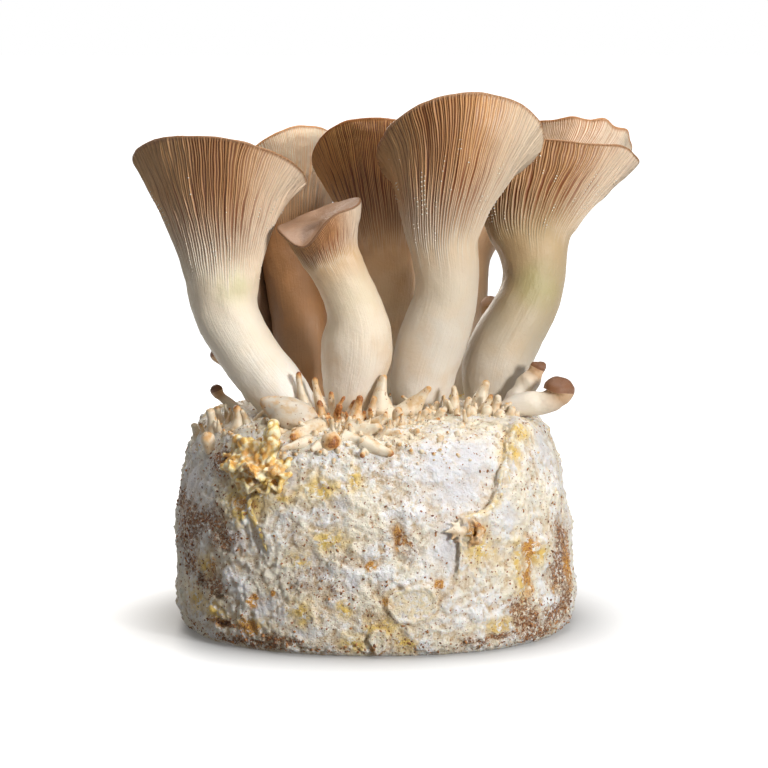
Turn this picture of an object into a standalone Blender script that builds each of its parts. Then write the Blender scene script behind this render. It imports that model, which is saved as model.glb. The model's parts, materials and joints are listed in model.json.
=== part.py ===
"""Oyster mushroom grow kit: a round block of substrate grown through with white
mycelium, and the flush of king oyster mushrooms that stands on its top.

Metres, +Z up, front towards -Y. The origin is the centre of the block's flat
underside. The dimensions below are in millimetres, and MM turns them to metres.
"""
import math
from collections import namedtuple

import bmesh
import bpy
from mathutils import Vector, noise

MM = 0.001
GAP = 0.3            # clearance between pieces that touch
FOOT_DEPTH = 5       # how far a stem starts below the block's surface before it is cut

# The block: half widths and heights of its side outline, foot to middle of the top
BLOCK_SIDES = 36
BLOCK_SQUARENESS = 2.3
BLOCK_OUTLINE = [(85, 0), (89, 5), (90, 14), (89.5, 34), (88, 54), (85.5, 68),
                 (82, 81), (77, 91), (69, 95), (45, 97.5), (20, 99)]
BLOCK_SHOULDER = 5   # the level in that outline where the shoulder begins
BLOCK_SHIFT = -2.5   # how far the block leans to the left at its shoulder
BLOCK_BUMPS = 1.3    # height of the lumps in the mycelium skin
BUMP_SIZE = 16
BUMP_LIFT = 0.4      # how much of a lump's height goes upwards on the block's sides

# How many segments round a stem; the gilled flare above it has twice as many
LARGE_SIDES = 20
MEDIUM_SIDES = 14
SMALL_SIDES = 8
STEM_RINGS = 8
SMALL_STEM_RINGS = 5
FLARE_RINGS = 5
GILL_DEPTH = 1.2     # how deep the coarse gill valleys are on a cap of FULL_CAP half width
FULL_CAP = 37
TURN_POWER = 1.2     # how late the flare turns from the stem's direction to the rim's axis
RIM_PULL = 0.8       # how straight the flare's middle line runs into the rim
MARGIN_SHARE = 0.985 # the top edge of the margin, as a share of the rim
DISH_SHARE = 0.6     # where the ring inside the dish lies, as a share of the rim

# A cap: centre of its rim, half width across and front to back, how far its rim
# leans back and rolls to the right side up (degrees), how late its flare opens
# (1 is a cone), depth of the dish in its top (negative is a dome), margin thickness,
# and the rim's bumps: angle round it (0 is +X, 90 is the back) and width in degrees,
# rise along the cap's axis and reach outwards
Cap = namedtuple("Cap", "centre across deep lean roll opening dish lip bumps")

# A mushroom grown as one piece: its stem is listed foot to neck as x, y, z and radius
Mushroom = namedtuple("Mushroom", "name stem cap sides colour")

MUSHROOMS = [
    Mushroom("mushroom_left",
             [(-34, -30, 97, 10), (-42, -30, 106, 13), (-53, -29, 119, 13), (-61, -28, 131, 13.5),
              (-67, -26, 143, 14.5), (-68, -25, 154, 16)],
             Cap((-69.5, -18, 203), 38.5, 38, 25, -6, 1.5, 9, 2,
                 [(185, 25, 1.5, 0.5), (-60, 25, -1.5, 0), (-20, 30, -1, 0.5)]),
             LARGE_SIDES, (0.86, 0.75, 0.60)),
    Mushroom("mushroom_centre",
             [(19, -8, 98, 11), (19.5, -8, 106, 14), (22, -9, 119, 15), (26.5, -11, 133, 15.5),
              (30.5, -13, 146, 14), (31.5, -15, 157, 14.5), (30, -16, 168, 15)],
             Cap((36.5, -14, 213.5), 37, 37, 41, 9, 1.35, 9, 2,
                 [(-150, 30, -1, 0), (0, 30, 0, 1)]),
             LARGE_SIDES, (0.86, 0.74, 0.58)),
    Mushroom("mushroom_right",
             [(52, 13, 100, 12), (53, 13, 110, 15), (57, 15, 122, 15.5), (64, 17, 136, 15.5),
              (70, 20, 147, 15), (71.5, 22, 158, 15), (71, 24, 168, 16.5)],
             Cap((82, 32, 207), 37, 27, 16, -3, 0.85, 7, 2,
                 [(-8, 14, -3, 1.5), (-35, 16, 2, 0.5), (-120, 30, 1.5, 0)]),
             LARGE_SIDES, (0.85, 0.74, 0.60)),
    Mushroom("mushroom_front_small",
             [(-11.5, -24, 100, 10), (-11.5, -24, 110, 13.5), (-9, -25, 121, 15.5), (-8.5, -26, 131, 16),
              (-8.5, -28, 141, 13), (-12, -29, 150, 11.5), (-15.5, -30, 158, 12), (-19, -31, 165, 12)],
             Cap((-24, -34, 183), 19, 13, -14, 23, 1.2, 2, 2.2,
                 [(-140, 35, -3, 1), (0, 30, 1, 0.5)]),
             LARGE_SIDES, (0.84, 0.73, 0.62)),
    Mushroom("mushroom_back_middle",
             [(-5, 27, 99, 11), (-3, 27, 110, 13), (0.5, 29, 126, 14), (3, 31, 142, 15),
              (4, 32, 154, 15), (3.5, 33, 165, 14.5)],
             Cap((-2, 40, 205.5), 28, 28, 46, 2, 1.3, 7, 1.8, []),
             MEDIUM_SIDES, (0.80, 0.65, 0.48)),
    Mushroom("mushroom_back_left",
             [(-35, 25, 98, 10), (-35, 28, 108, 11.5), (-35.5, 33, 121, 11.5), (-36.5, 40, 136, 13),
              (-38, 48, 150, 14), (-40, 56, 163, 14.5)],
             Cap((-43, 72, 202), 25, 25, 37, 28, 1.3, 6, 1.8, []),
             MEDIUM_SIDES, (0.82, 0.68, 0.52)),
    Mushroom("mushroom_back_right",
             [(35, 42, 99, 6), (37, 44, 108, 5.5), (43, 51, 124, 5), (47, 57, 141, 5),
              (47, 62, 153, 5), (49, 66, 163, 5.5), (55, 70, 173, 7.5)],
             Cap((93, 88, 210), 28, 24, 34, 0, 1.3, 5, 1.8,
                 [(-60, 12, 2, 1), (-95, 12, 1.5, 1), (-130, 14, 2, 0), (-25, 12, 1.5, 1)]),
             MEDIUM_SIDES, (0.85, 0.70, 0.52)),
    Mushroom("mushroom_far_left",
             [(-44, 46, 98, 7), (-48, 48, 110, 8), (-53, 50, 124, 8), (-59, 52, 138, 8),
              (-63, 52, 152, 8), (-66, 49, 164, 9)],
             Cap((-79, 40, 188), 17, 16, 15, 10, 1.3, 4, 1.8, []),
             SMALL_SIDES, (0.66, 0.54, 0.42)),
    Mushroom("side_mushroom",
             [(56, -16, 95, 4.5), (62, -18, 100, 4.8), (69, -20, 100.5, 5), (76, -21, 101, 4.8),
              (80, -21, 104, 4.2)],
             Cap((80.5, -21, 108), 6.8, 6.4, 5, -12, 1.0, -2.2, 1.2, []),
             SMALL_SIDES, (0.83, 0.70, 0.56)),
    Mushroom("young_mushroom_right",
             [(60, -6, 95, 5.5), (64, -7, 102, 5.2), (68, -7, 108, 4.6), (71, -7, 112, 3.6)],
             Cap((73, -7, 115.5), 4.7, 4.5, 0, -25, 1.0, -2, 1, []),
             SMALL_SIDES, (0.80, 0.64, 0.47)),
    Mushroom("young_mushroom_back",
             [(49, 41, 97, 3), (50, 42, 112, 2.6), (52, 43, 126, 2.3), (53, 44, 133, 2.2)],
             Cap((54, 44, 138), 4.2, 4.2, 0, 10, 1.0, -2.6, 1, []),
             SMALL_SIDES, (0.66, 0.57, 0.55)),
    Mushroom("young_mushroom_left",
             [(-62, -8, 95, 2.6), (-66, -8, 99, 2.3), (-70, -8, 102.5, 2)],
             Cap((-72, -8, 105), 3, 3, 0, 20, 1.0, -1.6, 0.8, []),
             SMALL_SIDES, (0.72, 0.56, 0.42)),
    Mushroom("young_mushroom_far_left",
             [(-57, 28, 95, 2.2), (-63, 27, 104, 1.9), (-69, 26, 112, 1.7)],
             Cap((-74, 26, 117.5), 2.8, 2.8, 0, 25, 1.0, -1.4, 0.8, []),
             SMALL_SIDES, (0.60, 0.45, 0.34)),
]

# The fat unopened bud: x, y, z and radius, foot to tip
BUD = [(-30.5, -54, 92, 6), (-31.5, -54, 95, 8), (-34.5, -54, 98, 8.8), (-40, -54, 101, 7.8),
       (-45, -54, 104, 5.2), (-49.5, -54, 106.5, 2.4)]
BUD_SIDES = 12

# Sprouts: foot x and y, lean of the tip in x and y, height, foot radius, tip radius
SPROUTS = [
    # behind and beside the bud, in front of the small mushroom's stem
    (-27, -42.5, -7, -1, 20, 3, 1.2), (-21, -40.5, -6, -1, 17, 3.2, 1.3), (-20, -43, 0, 0, 11, 2.6, 1),
    (-18, -46, 4, -2, 9, 2.2, 0.9), (-20, -53, 0, -1, 3.5, 2.6, 2.4), (-17, -47, 0, -2, 4, 3.2, 2.8),
    (-21, -58, 0, -2, 2.5, 3.6, 3.3), (-17, -71, 0, -4, 2, 4.4, 4.2),
    # in the middle of the front edge
    (-10, -50, 3, -2, 8, 4, 1.4), (-8, -66, 8, -6, 3, 5, 1.8), (-12, -74, 6, -4, 1, 3.2, 1.8),
    (-4, -47, 3, -2, 9, 2.8, 1.4), (3.5, -36, 0, 0, 17, 6, 1.8), (10, -34, 13, -4, 12, 5, 1.4),
    (9, -46, 1, -3, 5, 2.4, 2.6), (3, -69, 6, -6, 0.5, 2.2, 1),
    (-10, -79, 10, -6, -3, 3, 1.4),
    # below the bud
    (-27, -67, -9, -6, 0, 4.4, 2.2), (-30, -75, -9, -4, -1, 2.2, 1),
    # between the centre and right stems
    (33, -27, 1, -1, 10, 3, 1.3), (29, -29, 2, -1, 5, 2.2, 1.1), (40, -20, 1, -1, 4, 2, 1.3),
    (45, -13, 4, 0, 12, 4.6, 1.8), (46, -19, 5, -3, 6, 2.6, 1.2), (42, -27, 0, -2, 2, 2.8, 2.5),
    (48, -24, 1, -2, 2.5, 2.6, 2.4), (53, -30, 1, -2, 2, 2.6, 2.3),
    # on the left shoulder
    (-70, -42, -3, -2, 3, 3.4, 3.2), (-68, -34, -2, -1, 6, 2.4, 1.7), (-60, -50, 1, -1, 6, 2.4, 1.7),
    (-76, -12, -2, 0, 3, 1.9, 1.5),
]
SPROUT_SIDES = 5
SPROUT_DEPTH = 3     # how far a sprout reaches into the block
SPROUT_MIDDLE = 0.55 # where its middle ring is, how far that arches up with the lean,
SPROUT_ARCH = 0.12   # and how far it has narrowed there
SPROUT_TAPER = 0.4
TIP_ROUNDING = 0.8   # height of a tube's rounded tip, as a share of its last radius

# Lumps of crust on the block's front: centre, half sizes, and turn about Z (degrees)
CRUST_LUMPS = [
    ((-50, -68, 86), (12, 6, 8), -32), ((-45, -67, 93), (3.5, 3.5, 8), -20),
    ((-60, -62, 88), (5, 4, 5), -40), ((-47, -75, 78), (12, 5, 3.5), -30),
    ((-53, -74, 70), (9, 3.5, 9), -32), ((15, -87.5, 24), (12, 4, 9), 8),
    ((5, -86.5, 12), (7, 4, 6), 0), ((33, -83, 27), (4, 3, 6), 20),
]

# The torn edge of the skin on the right and the loose flap on the left: points and radii
RIDGES = [
    [(57, -30, 95, 2), (58, -48, 91, 2.5), (58, -60, 83, 2.8), (55, -66, 75, 2.8), (52, -71, 67, 3),
     (44, -77, 61, 3), (37, -81, 57, 3.2), (34, -83, 50, 2.6), (32, -84, 42, 1.8)],
    [(-56, -68, 66, 2), (-53, -73, 56, 2.4), (-49, -77, 46, 1.8)],
]
RIDGE_SIDES = 6

BLOCK_COLOUR = (0.74, 0.68, 0.58)
BUD_COLOUR = (0.84, 0.76, 0.62)
ROUGHNESS = 0.7
SHARP_ANGLE = 60     # edges sharper than this many degrees stay crisp


def clear_scene():
    for item in list(bpy.data.objects):
        bpy.data.objects.remove(item, do_unlink=True)


def blend(start, end, share):
    return start + (end - start) * share


def smooth_path(stations, count):
    """Points at even steps on a Catmull-Rom curve through the stations (4-vectors)."""
    points = [Vector(station) for station in stations]
    points = [points[0] * 2 - points[1], *points, points[-1] * 2 - points[-2]]
    spans = len(points) - 3
    path = []
    for index in range(count):
        place = spans * index / (count - 1)
        span = min(int(place), spans - 1)
        t = place - span
        a, b, c, d = points[span:span + 4]
        path.append((b * 2 + (c - a) * t + (a * 2 - b * 5 + c * 4 - d) * t ** 2
                     + (b * 3 - a - c * 3 + d) * t ** 3) / 2)
    return path


def ring(centre, normal, across, deep, sides, shape=None):
    """A ring of points round a centre; shape(angle) gives (out, up) added to each."""
    side = (Vector((1, 0, 0)) - normal * normal.x).normalized()
    back = normal.cross(side)
    points = []
    for index in range(sides):
        angle = 2 * math.pi * index / sides
        out, up = shape(angle) if shape else (0, 0)
        points.append(centre + side * math.cos(angle) * (across + out)
                      + back * math.sin(angle) * (deep + out) + normal * up)
    return points


def bridge(bm, lower, upper):
    """Faces between two rings, the upper one with as many points or twice as many."""
    count = len(lower)
    for index in range(count):
        after = (index + 1) % count
        if len(upper) == count:
            bm.faces.new((lower[index], lower[after], upper[after], upper[index]))
        else:
            left, middle, right = (upper[(2 * index + step) % len(upper)] for step in range(3))
            bm.faces.new((lower[index], middle, left))
            bm.faces.new((lower[index], lower[after], middle))
            bm.faces.new((lower[after], right, middle))


def add_loft(bm, rings, pole=None):
    """A closed body through the rings, with a flat foot and a flat end or a pole."""
    loops = [[bm.verts.new(point * MM) for point in points] for points in rings]
    for lower, upper in zip(loops, loops[1:]):
        bridge(bm, lower, upper)
    bm.faces.new(list(reversed(loops[0])))
    top = loops[-1]
    if pole is None:
        bm.faces.new(top)
    else:
        tip = bm.verts.new(pole * MM)
        for index, vert in enumerate(top):
            bm.faces.new((vert, top[(index + 1) % len(top)], tip))


def material(name, colour, roughness):
    made = bpy.data.materials.new(name)
    made.use_nodes = True
    shader = made.node_tree.nodes["Principled BSDF"]
    shader.inputs["Base Color"].default_value = (*colour, 1)
    shader.inputs["Roughness"].default_value = roughness
    shader.inputs["Metallic"].default_value = 0
    return made


def finish_object(name, bm, colour=BLOCK_COLOUR):
    """Makes the mesh an object with smooth shading and its own material."""
    bmesh.ops.recalc_face_normals(bm, faces=bm.faces)
    mesh = bpy.data.meshes.new(name)
    bm.to_mesh(mesh)
    bm.free()
    mesh.shade_smooth()
    mesh.set_sharp_from_angle(angle=math.radians(SHARP_ANGLE))
    made = bpy.data.objects.new(name, mesh)
    bpy.context.scene.collection.objects.link(made)
    mesh.materials.append(material(name, colour, ROUGHNESS))
    return made


def as_cutter(item):
    item.hide_render = True
    item.display_type = "WIRE"
    return item


def add_boolean(item, other, operation, name):
    step = item.modifiers.new(name, "BOOLEAN")
    step.operation = operation
    step.solver = "EXACT"
    step.use_self = operation == "UNION"
    step.object = other


def block_shift(height):
    """How far the block's middle is off the origin at a height."""
    return BLOCK_SHIFT * min(1, height / BLOCK_OUTLINE[BLOCK_SHOULDER][1])


def block_reach(x, y):
    """Distance from the block's axis, measured so that its squarish outline is level."""
    power = BLOCK_SQUARENESS
    return (abs(x) ** power + abs(y) ** power) ** (1 / power)


def top_height(x, y):
    """Height of the block's surface over a point of its top or shoulder."""
    reach = block_reach(x - BLOCK_SHIFT, y)
    outline = BLOCK_OUTLINE[BLOCK_SHOULDER:]
    for (outer, low), (inner, high) in zip(outline, outline[1:]):
        if reach >= inner:
            return blend(low, high, min(1, (outer - reach) / (outer - inner)))
    return outline[-1][1]


def block_ring(half, height):
    """One level of the block, squarish in plan, with the lumps of its skin."""
    points = []
    for index in range(BLOCK_SIDES):
        angle = 2 * math.pi * index / BLOCK_SIDES
        x, y = math.cos(angle), math.sin(angle)
        scale = half / block_reach(x, y)
        point = Vector((x * scale + block_shift(height), y * scale, height))
        lump = noise.noise(point / BUMP_SIZE) * BLOCK_BUMPS if height > 0 else 0
        points.append(point + Vector((x, y, BUMP_LIFT)) * lump)
    return points


def make_block_body(name, lift=0):
    bm = bmesh.new()
    add_loft(bm, [[point + Vector((0, 0, lift)) for point in block_ring(*level)]
                  for level in BLOCK_OUTLINE])
    return finish_object(name, bm)


def direction_at(path, index):
    """The way a path of 4-vectors runs at one of its points."""
    before = path[max(index - 1, 0)].xyz
    after = path[min(index + 1, len(path) - 1)].xyz
    return (after - before).normalized()


def add_tube(bm, stations, sides):
    """A closed tube through x, y, z and radius stations, with a rounded tip."""
    path = [Vector(station) for station in stations]
    rings = []
    for index, station in enumerate(path):
        normal = direction_at(path, index)
        rings.append(ring(station.xyz, normal, station.w, station.w, sides))
    add_loft(bm, rings, path[-1].xyz + normal * path[-1].w * TIP_ROUNDING)


def add_sprout(bm, x, y, lean_x, lean_y, height, foot, tip):
    floor = top_height(x, y)
    start = Vector((x, y, floor - SPROUT_DEPTH))
    end = Vector((x + lean_x, y + lean_y, floor + height))
    middle = blend(start, end, SPROUT_MIDDLE) + Vector((0, 0, SPROUT_ARCH * abs(lean_x + lean_y)))
    waist = blend(foot, tip, SPROUT_TAPER)
    add_tube(bm, [(*start, foot), (*middle, waist), (*end, tip)], SPROUT_SIDES)


def add_lump(bm, centre, half_sizes, turn):
    made = bmesh.ops.create_icosphere(bm, subdivisions=2, radius=1)["verts"]
    bmesh.ops.scale(bm, vec=Vector(half_sizes) * MM, verts=made)
    spin = math.radians(turn)
    for vert in made:
        x, y, z = vert.co
        vert.co = Vector((x * math.cos(spin) - y * math.sin(spin),
                          x * math.sin(spin) + y * math.cos(spin), z)) + Vector(centre) * MM


def make_growths():
    """Everything that is fused to the block: sprouts, crust lumps and torn edges."""
    bm = bmesh.new()
    for sprout in SPROUTS:
        add_sprout(bm, *sprout)
    for lump in CRUST_LUMPS:
        add_lump(bm, *lump)
    for ridge in RIDGES:
        add_tube(bm, ridge, RIDGE_SIDES)
    return as_cutter(finish_object("block_growths", bm))


def rim_axis(cap):
    lean, roll = math.radians(cap.lean), math.radians(cap.roll)
    return Vector((-math.sin(roll) * math.cos(lean), math.sin(lean),
                   math.cos(lean) * math.cos(roll))).normalized()


def rim_bump(cap, angle):
    """How far the rim stands out and up at an angle round the cap."""
    out = up = 0
    for place, width, rise, reach in cap.bumps:
        off = (math.degrees(angle) - place + 180) % 360 - 180
        weight = math.exp(-(off / width) ** 2)
        out += reach * weight
        up += rise * weight
    return out, up


def flare_rings(mushroom, neck, direction):
    """Gilled rings from the neck to the rim, then over the margin and into the top."""
    cap = mushroom.cap
    centre, axis = Vector(cap.centre), rim_axis(cap)
    sides = mushroom.sides * 2 if mushroom.sides > SMALL_SIDES else mushroom.sides
    start, radius = neck.xyz, neck.w
    length = (centre - start).length
    gills = GILL_DEPTH * cap.across / FULL_CAP if sides != mushroom.sides else 0
    rings = []
    for step in range(1, FLARE_RINGS + 1):
        t = step / FLARE_RINGS
        place = (start * (2 * t ** 3 - 3 * t ** 2 + 1) + direction * length * (t ** 3 - 2 * t ** 2 + t)
                 + centre * (3 * t ** 2 - 2 * t ** 3) + axis * length * RIM_PULL * (t ** 3 - t ** 2))
        normal = (direction * (1 - t ** TURN_POWER) + axis * t ** TURN_POWER).normalized()
        wide = t ** cap.opening
        rise = t ** 2

        def gill(angle):
            out, up = rim_bump(cap, angle)
            valley = gills * (round(angle * sides / (2 * math.pi)) % 2)
            return out * rise - valley, up * rise
        rings.append(ring(place, normal, blend(radius, cap.across, wide),
                          blend(radius, cap.deep, wide), sides, gill))
    for share, height in ((MARGIN_SHARE, cap.lip), (DISH_SHARE, cap.lip - cap.dish * (1 - DISH_SHARE ** 2))):

        def bump(angle):
            return [value * share for value in rim_bump(cap, angle)]
        rings.append(ring(centre + axis * height, axis, cap.across * share, cap.deep * share, sides, bump))
    return rings, centre + axis * (cap.lip - cap.dish)


def make_mushroom(mushroom, block_skin):
    large = mushroom.sides > SMALL_SIDES
    path = smooth_path(mushroom.stem, STEM_RINGS if large else SMALL_STEM_RINGS)
    rings = []
    for index, station in enumerate(path):
        direction = direction_at(path, index)
        if index == 0:
            sunk = station.xyz - direction * FOOT_DEPTH
            rings.append(ring(sunk, direction, station.w, station.w, mushroom.sides))
        rings.append(ring(station.xyz, direction, station.w, station.w, mushroom.sides))
    top, pole = flare_rings(mushroom, path[-1], direction)
    bm = bmesh.new()
    add_loft(bm, rings + top, pole)
    made = finish_object(mushroom.name, bm, mushroom.colour)
    add_boolean(made, block_skin, "DIFFERENCE", "stands on the block")


def make_bud(block_skin):
    bm = bmesh.new()
    add_tube(bm, BUD, BUD_SIDES)
    made = finish_object("bud_front_left", bm, BUD_COLOUR)
    add_boolean(made, block_skin, "DIFFERENCE", "stands on the block")


def main():
    clear_scene()
    block = make_block_body("substrate_block")
    block_skin = as_cutter(make_block_body("block_skin", lift=GAP))
    add_boolean(block, make_growths(), "UNION", "sprouts and crust")
    for mushroom in MUSHROOMS:
        make_mushroom(mushroom, block_skin)
    make_bud(block_skin)


main()
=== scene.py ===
# %% [markdown]
# # Oyster mushrooms on their grow block
# A round block of sawdust, grown through and skinned over by white mycelium, carries a
# cluster of king oyster mushrooms. The measured solids come in first. Each visible piece
# is then modelled over its solid, with the relief and the colours of the real one.

# %% Load the measured solids
import json
import math
import random
from collections import namedtuple

import bmesh
import bpy
import numpy as np
from mathutils import Matrix, Vector, noise

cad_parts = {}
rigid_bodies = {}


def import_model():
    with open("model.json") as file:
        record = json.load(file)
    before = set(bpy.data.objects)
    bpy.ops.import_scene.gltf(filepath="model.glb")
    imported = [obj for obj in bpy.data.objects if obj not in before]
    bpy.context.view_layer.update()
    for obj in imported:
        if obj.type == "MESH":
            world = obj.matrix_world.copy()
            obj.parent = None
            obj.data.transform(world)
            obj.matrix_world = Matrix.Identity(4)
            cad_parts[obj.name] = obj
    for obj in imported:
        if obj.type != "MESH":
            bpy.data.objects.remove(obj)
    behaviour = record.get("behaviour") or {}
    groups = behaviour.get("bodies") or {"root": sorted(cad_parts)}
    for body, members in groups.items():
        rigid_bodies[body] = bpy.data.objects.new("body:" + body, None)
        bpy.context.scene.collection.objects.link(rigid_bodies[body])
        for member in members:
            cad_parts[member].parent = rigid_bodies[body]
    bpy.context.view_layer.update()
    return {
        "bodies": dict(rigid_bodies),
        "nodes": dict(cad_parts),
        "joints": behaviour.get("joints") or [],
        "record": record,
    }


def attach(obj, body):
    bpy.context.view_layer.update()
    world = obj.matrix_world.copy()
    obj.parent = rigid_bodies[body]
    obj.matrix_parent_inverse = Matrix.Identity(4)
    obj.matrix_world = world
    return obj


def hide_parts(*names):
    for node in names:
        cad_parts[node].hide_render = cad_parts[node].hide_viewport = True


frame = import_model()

MM = 0.001                      # the numbers in this lesson are millimetres
print("solids:", sorted(frame["nodes"]))

# %% [markdown]
# ## Camera, table and light
# The photograph was taken from a little above the rims, from far enough away that the
# trumpets barely converge, so a long lens stands 1.4 m off and looks 7 degrees down.

# %% Camera
LENS = 145.5
CAMERA_PLACE = Vector((3.2, -1389.6, 277.5)) * MM
CAMERA_AIM = Vector((3.2, 0, 106.9)) * MM


def deselect():
    """Operators act on all that is selected, and the solids arrive selected."""
    bpy.ops.object.select_all(action="DESELECT")


def look_at(place, aim):
    return (aim - place).to_track_quat("-Z", "Y").to_euler()


deselect()
bpy.ops.object.camera_add(location=CAMERA_PLACE, rotation=look_at(CAMERA_PLACE, CAMERA_AIM))
camera = bpy.context.object
camera.name = "photo_camera"
camera.data.lens = LENS
camera.data.sensor_width = 36
camera.data.clip_start = 0.05
bpy.context.scene.camera = camera
bpy.context.scene.view_settings.view_transform = "Standard"
print("camera", round((CAMERA_PLACE - CAMERA_AIM).length, 3), "m from its aim")

# %% [markdown]
# The table and the wall behind it are one pure white, so only a faint contact shadow
# tells them apart. The key light is a soft box at the right, in front and hardly above
# the rims, which leaves the left sides in shade. A wide one overhead whitens the table
# and lights the block's shoulder, but not what the caps cover. The white room fills in
# weakly. The table shows to the camera but throws no light back up, or the gills would
# lose their depth.

# %% Light
ROOM_STRENGTH = 0.2


def lamp(name, place, aim, size, power, colour=(1, 1, 1)):
    place, aim = Vector(place) * MM, Vector(aim) * MM
    deselect()
    bpy.ops.object.light_add(type="AREA", location=place, rotation=look_at(place, aim))
    made = bpy.context.object
    made.name = name
    made.data.size = size * MM
    made.data.energy = power
    made.data.color = colour


lamp("key_light", (830, -1020, 430), (0, 0, 120), 240, 15, (1, 0.99, 0.975))
lamp("overhead_light", (60, -120, 1250), (0, 0, 60), 700, 10.5)
lamp("back_light", (-300, 900, 420), (0, 0, 190), 400, 4, (1, 0.95, 0.88))

room = bpy.data.worlds.new("white_room")
room.use_nodes = True
bpy.context.scene.world = room
room_nodes = room.node_tree.nodes
room_links = room.node_tree.links
room_nodes.clear()
seen = room_nodes.new("ShaderNodeBackground")
seen.inputs["Strength"].default_value = 1.0
fill = room_nodes.new("ShaderNodeBackground")
fill.inputs["Strength"].default_value = ROOM_STRENGTH
seen.inputs["Color"].default_value = (1, 1, 1, 1)
fill.inputs["Color"].default_value = (1, 0.95, 0.88, 1)
ray = room_nodes.new("ShaderNodeLightPath")
either = room_nodes.new("ShaderNodeMixShader")
world_output = room_nodes.new("ShaderNodeOutputWorld")
room_links.new(ray.outputs["Is Camera Ray"], either.inputs["Fac"])
room_links.new(fill.outputs["Background"], either.inputs[1])
room_links.new(seen.outputs["Background"], either.inputs[2])
room_links.new(either.outputs["Shader"], world_output.inputs["Surface"])

# %% [markdown]
# ## A short way to write materials
# Each finish below is a small network of nodes. These helpers add one node, give it its
# settings, and take either a plain value or another node's output for every input.

# %% Node helpers
def finish_material(name, roughness, subsurface=0.0):
    """A material and its Principled shader."""
    made = bpy.data.materials.new(name)
    made.use_nodes = True
    shader = made.node_tree.nodes["Principled BSDF"]
    shader.inputs["Roughness"].default_value = roughness
    shader.inputs["Subsurface Weight"].default_value = subsurface
    shader.inputs["Subsurface Radius"].default_value = (1.0, 0.6, 0.35)
    shader.inputs["Subsurface Scale"].default_value = 2.5 * MM
    return made, made.node_tree, shader


def feed(tree, socket, value):
    if isinstance(value, bpy.types.NodeSocket):
        tree.links.new(value, socket)
    elif socket.type == "RGBA" and len(value) == 3:
        socket.default_value = (*value, 1)
    else:
        socket.default_value = value


def add_node(tree, kind, inputs=(), **settings):
    made = tree.nodes.new("ShaderNode" + kind)
    for name, value in settings.items():
        setattr(made, name, value)
    for name, value in dict(inputs).items():
        feed(tree, made.inputs[name], value)
    return made


def reading(tree, name):
    """A value that was stored in the mesh's vertices."""
    return add_node(tree, "Attribute", attribute_name=name).outputs["Fac"]


def reckon(tree, operation, first, second=0.0):
    return add_node(tree, "Math", {0: first, 1: second}, operation=operation).outputs[0]


def scaled(tree, first, second):
    return reckon(tree, "MULTIPLY", first, second)


def between(tree, value, low, high, start=0.0, end=1.0):
    """start where the value is below low, end above high, and smooth between them."""
    made = add_node(tree, "MapRange", {"Value": value, "From Min": low, "From Max": high,
                                       "To Min": start, "To Max": end},
                    interpolation_type="SMOOTHSTEP")
    return made.outputs["Result"]


def mixed(tree, share, first, second, blend_type="MIX"):
    made = add_node(tree, "Mix", {0: share, 6: first, 7: second},
                    data_type="RGBA", blend_type=blend_type)
    return made.outputs[2]


def mottle(tree, place, size, detail=3.0, roughness=0.55, distortion=0.0):
    """Cloudy noise whose lumps are about that many millimetres across."""
    made = add_node(tree, "TexNoise", {"Vector": place, "Scale": 1 / (size * MM),
                                       "Detail": detail, "Roughness": roughness,
                                       "Distortion": distortion})
    return made.outputs["Fac"]


def raised(tree, height, distance, strength=1.0, under=None):
    """Bump from a height between 0 and 1, that many millimetres high."""
    inputs = {"Height": height, "Distance": distance * MM, "Strength": strength}
    if under is not None:
        inputs["Normal"] = under
    return add_node(tree, "Bump", inputs).outputs["Normal"]


def colour(red, green, blue):
    """A colour as a paint program shows it, 0 to 255, turned into light."""
    return tuple(((part / 255 + 0.055) / 1.055) ** 2.4 if part > 10 else part / 255 / 12.92
                 for part in (red, green, blue))


# %% [markdown]
# The table is pure white in the photograph but for a soft shadow round the block's foot.
# So it glows, and the glow paints the soft shadow round the foot: not at all under the
# block, most of the way to white just off it, and fully white farther out.

# %% The white table
SHADOW_MIDDLE = (-0.006, 0, 0)
SHADOW_REACH = (0.07, 0.14)     # metres from there at which the table starts and ends whitening
FAR_REACH = (0.3, 1.5)
deselect()
bpy.ops.mesh.primitive_plane_add(size=30, location=(0, 0, -0.0002))
table = bpy.context.object
table.name = "white_table"
table_finish, table_tree, table_shader = finish_material("table_white", 0.6)
table_shader.inputs["Base Color"].default_value = (0.42, 0.42, 0.42, 1)
table_shader.inputs["Emission Color"].default_value = (1, 1, 1, 1)
table_spot = add_node(table_tree, "TexCoord").outputs["Object"]
table_reach = add_node(table_tree, "VectorMath", {0: table_spot, 1: SHADOW_MIDDLE},
                       operation="DISTANCE").outputs["Value"]
# painted shadow: the table's glow is weakest near the block's foot and whitens farther out
feed(table_tree, table_shader.inputs["Emission Strength"],
     reckon(table_tree, "ADD", between(table_tree, table_reach, *SHADOW_REACH, 0.0, 0.72),
            between(table_tree, table_reach, *FAR_REACH, 0.0, 0.45)))
table.data.materials.append(table_finish)
table.visible_diffuse = False

# %% [markdown]
# ## Growing a body ring by ring
# Stem, gills and cap of a trumpet are one flesh, so each mushroom is one mesh. It starts
# as a circle at the foot. The circle is extruded, moved, turned and scaled from station to
# station, over the rim and down into the cap's hollow, and Subdivision Surface then
# smooths this cage. A lathe (Spin) can't be used, because no stem is straight and no rim
# is level. Two marks stay in every vertex: how far **along** the body it lies (-1 foot,
# 0 neck, 1 rim, more on the cap's top) and its **turn** round the body, as a cosine and
# a sine, which have no seam.

# %% Helpers for vertices
def pick(piece):
    """Makes this the only selected object, and the active one."""
    deselect()
    piece.select_set(True)
    bpy.context.view_layer.objects.active = piece


def apply(piece, kind, **settings):
    """Adds a modifier and applies it."""
    pick(piece)
    step = piece.modifiers.new(kind, kind)
    for name, value in settings.items():
        setattr(step, name, value)
    bpy.ops.object.modifier_apply(modifier=step.name)


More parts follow.
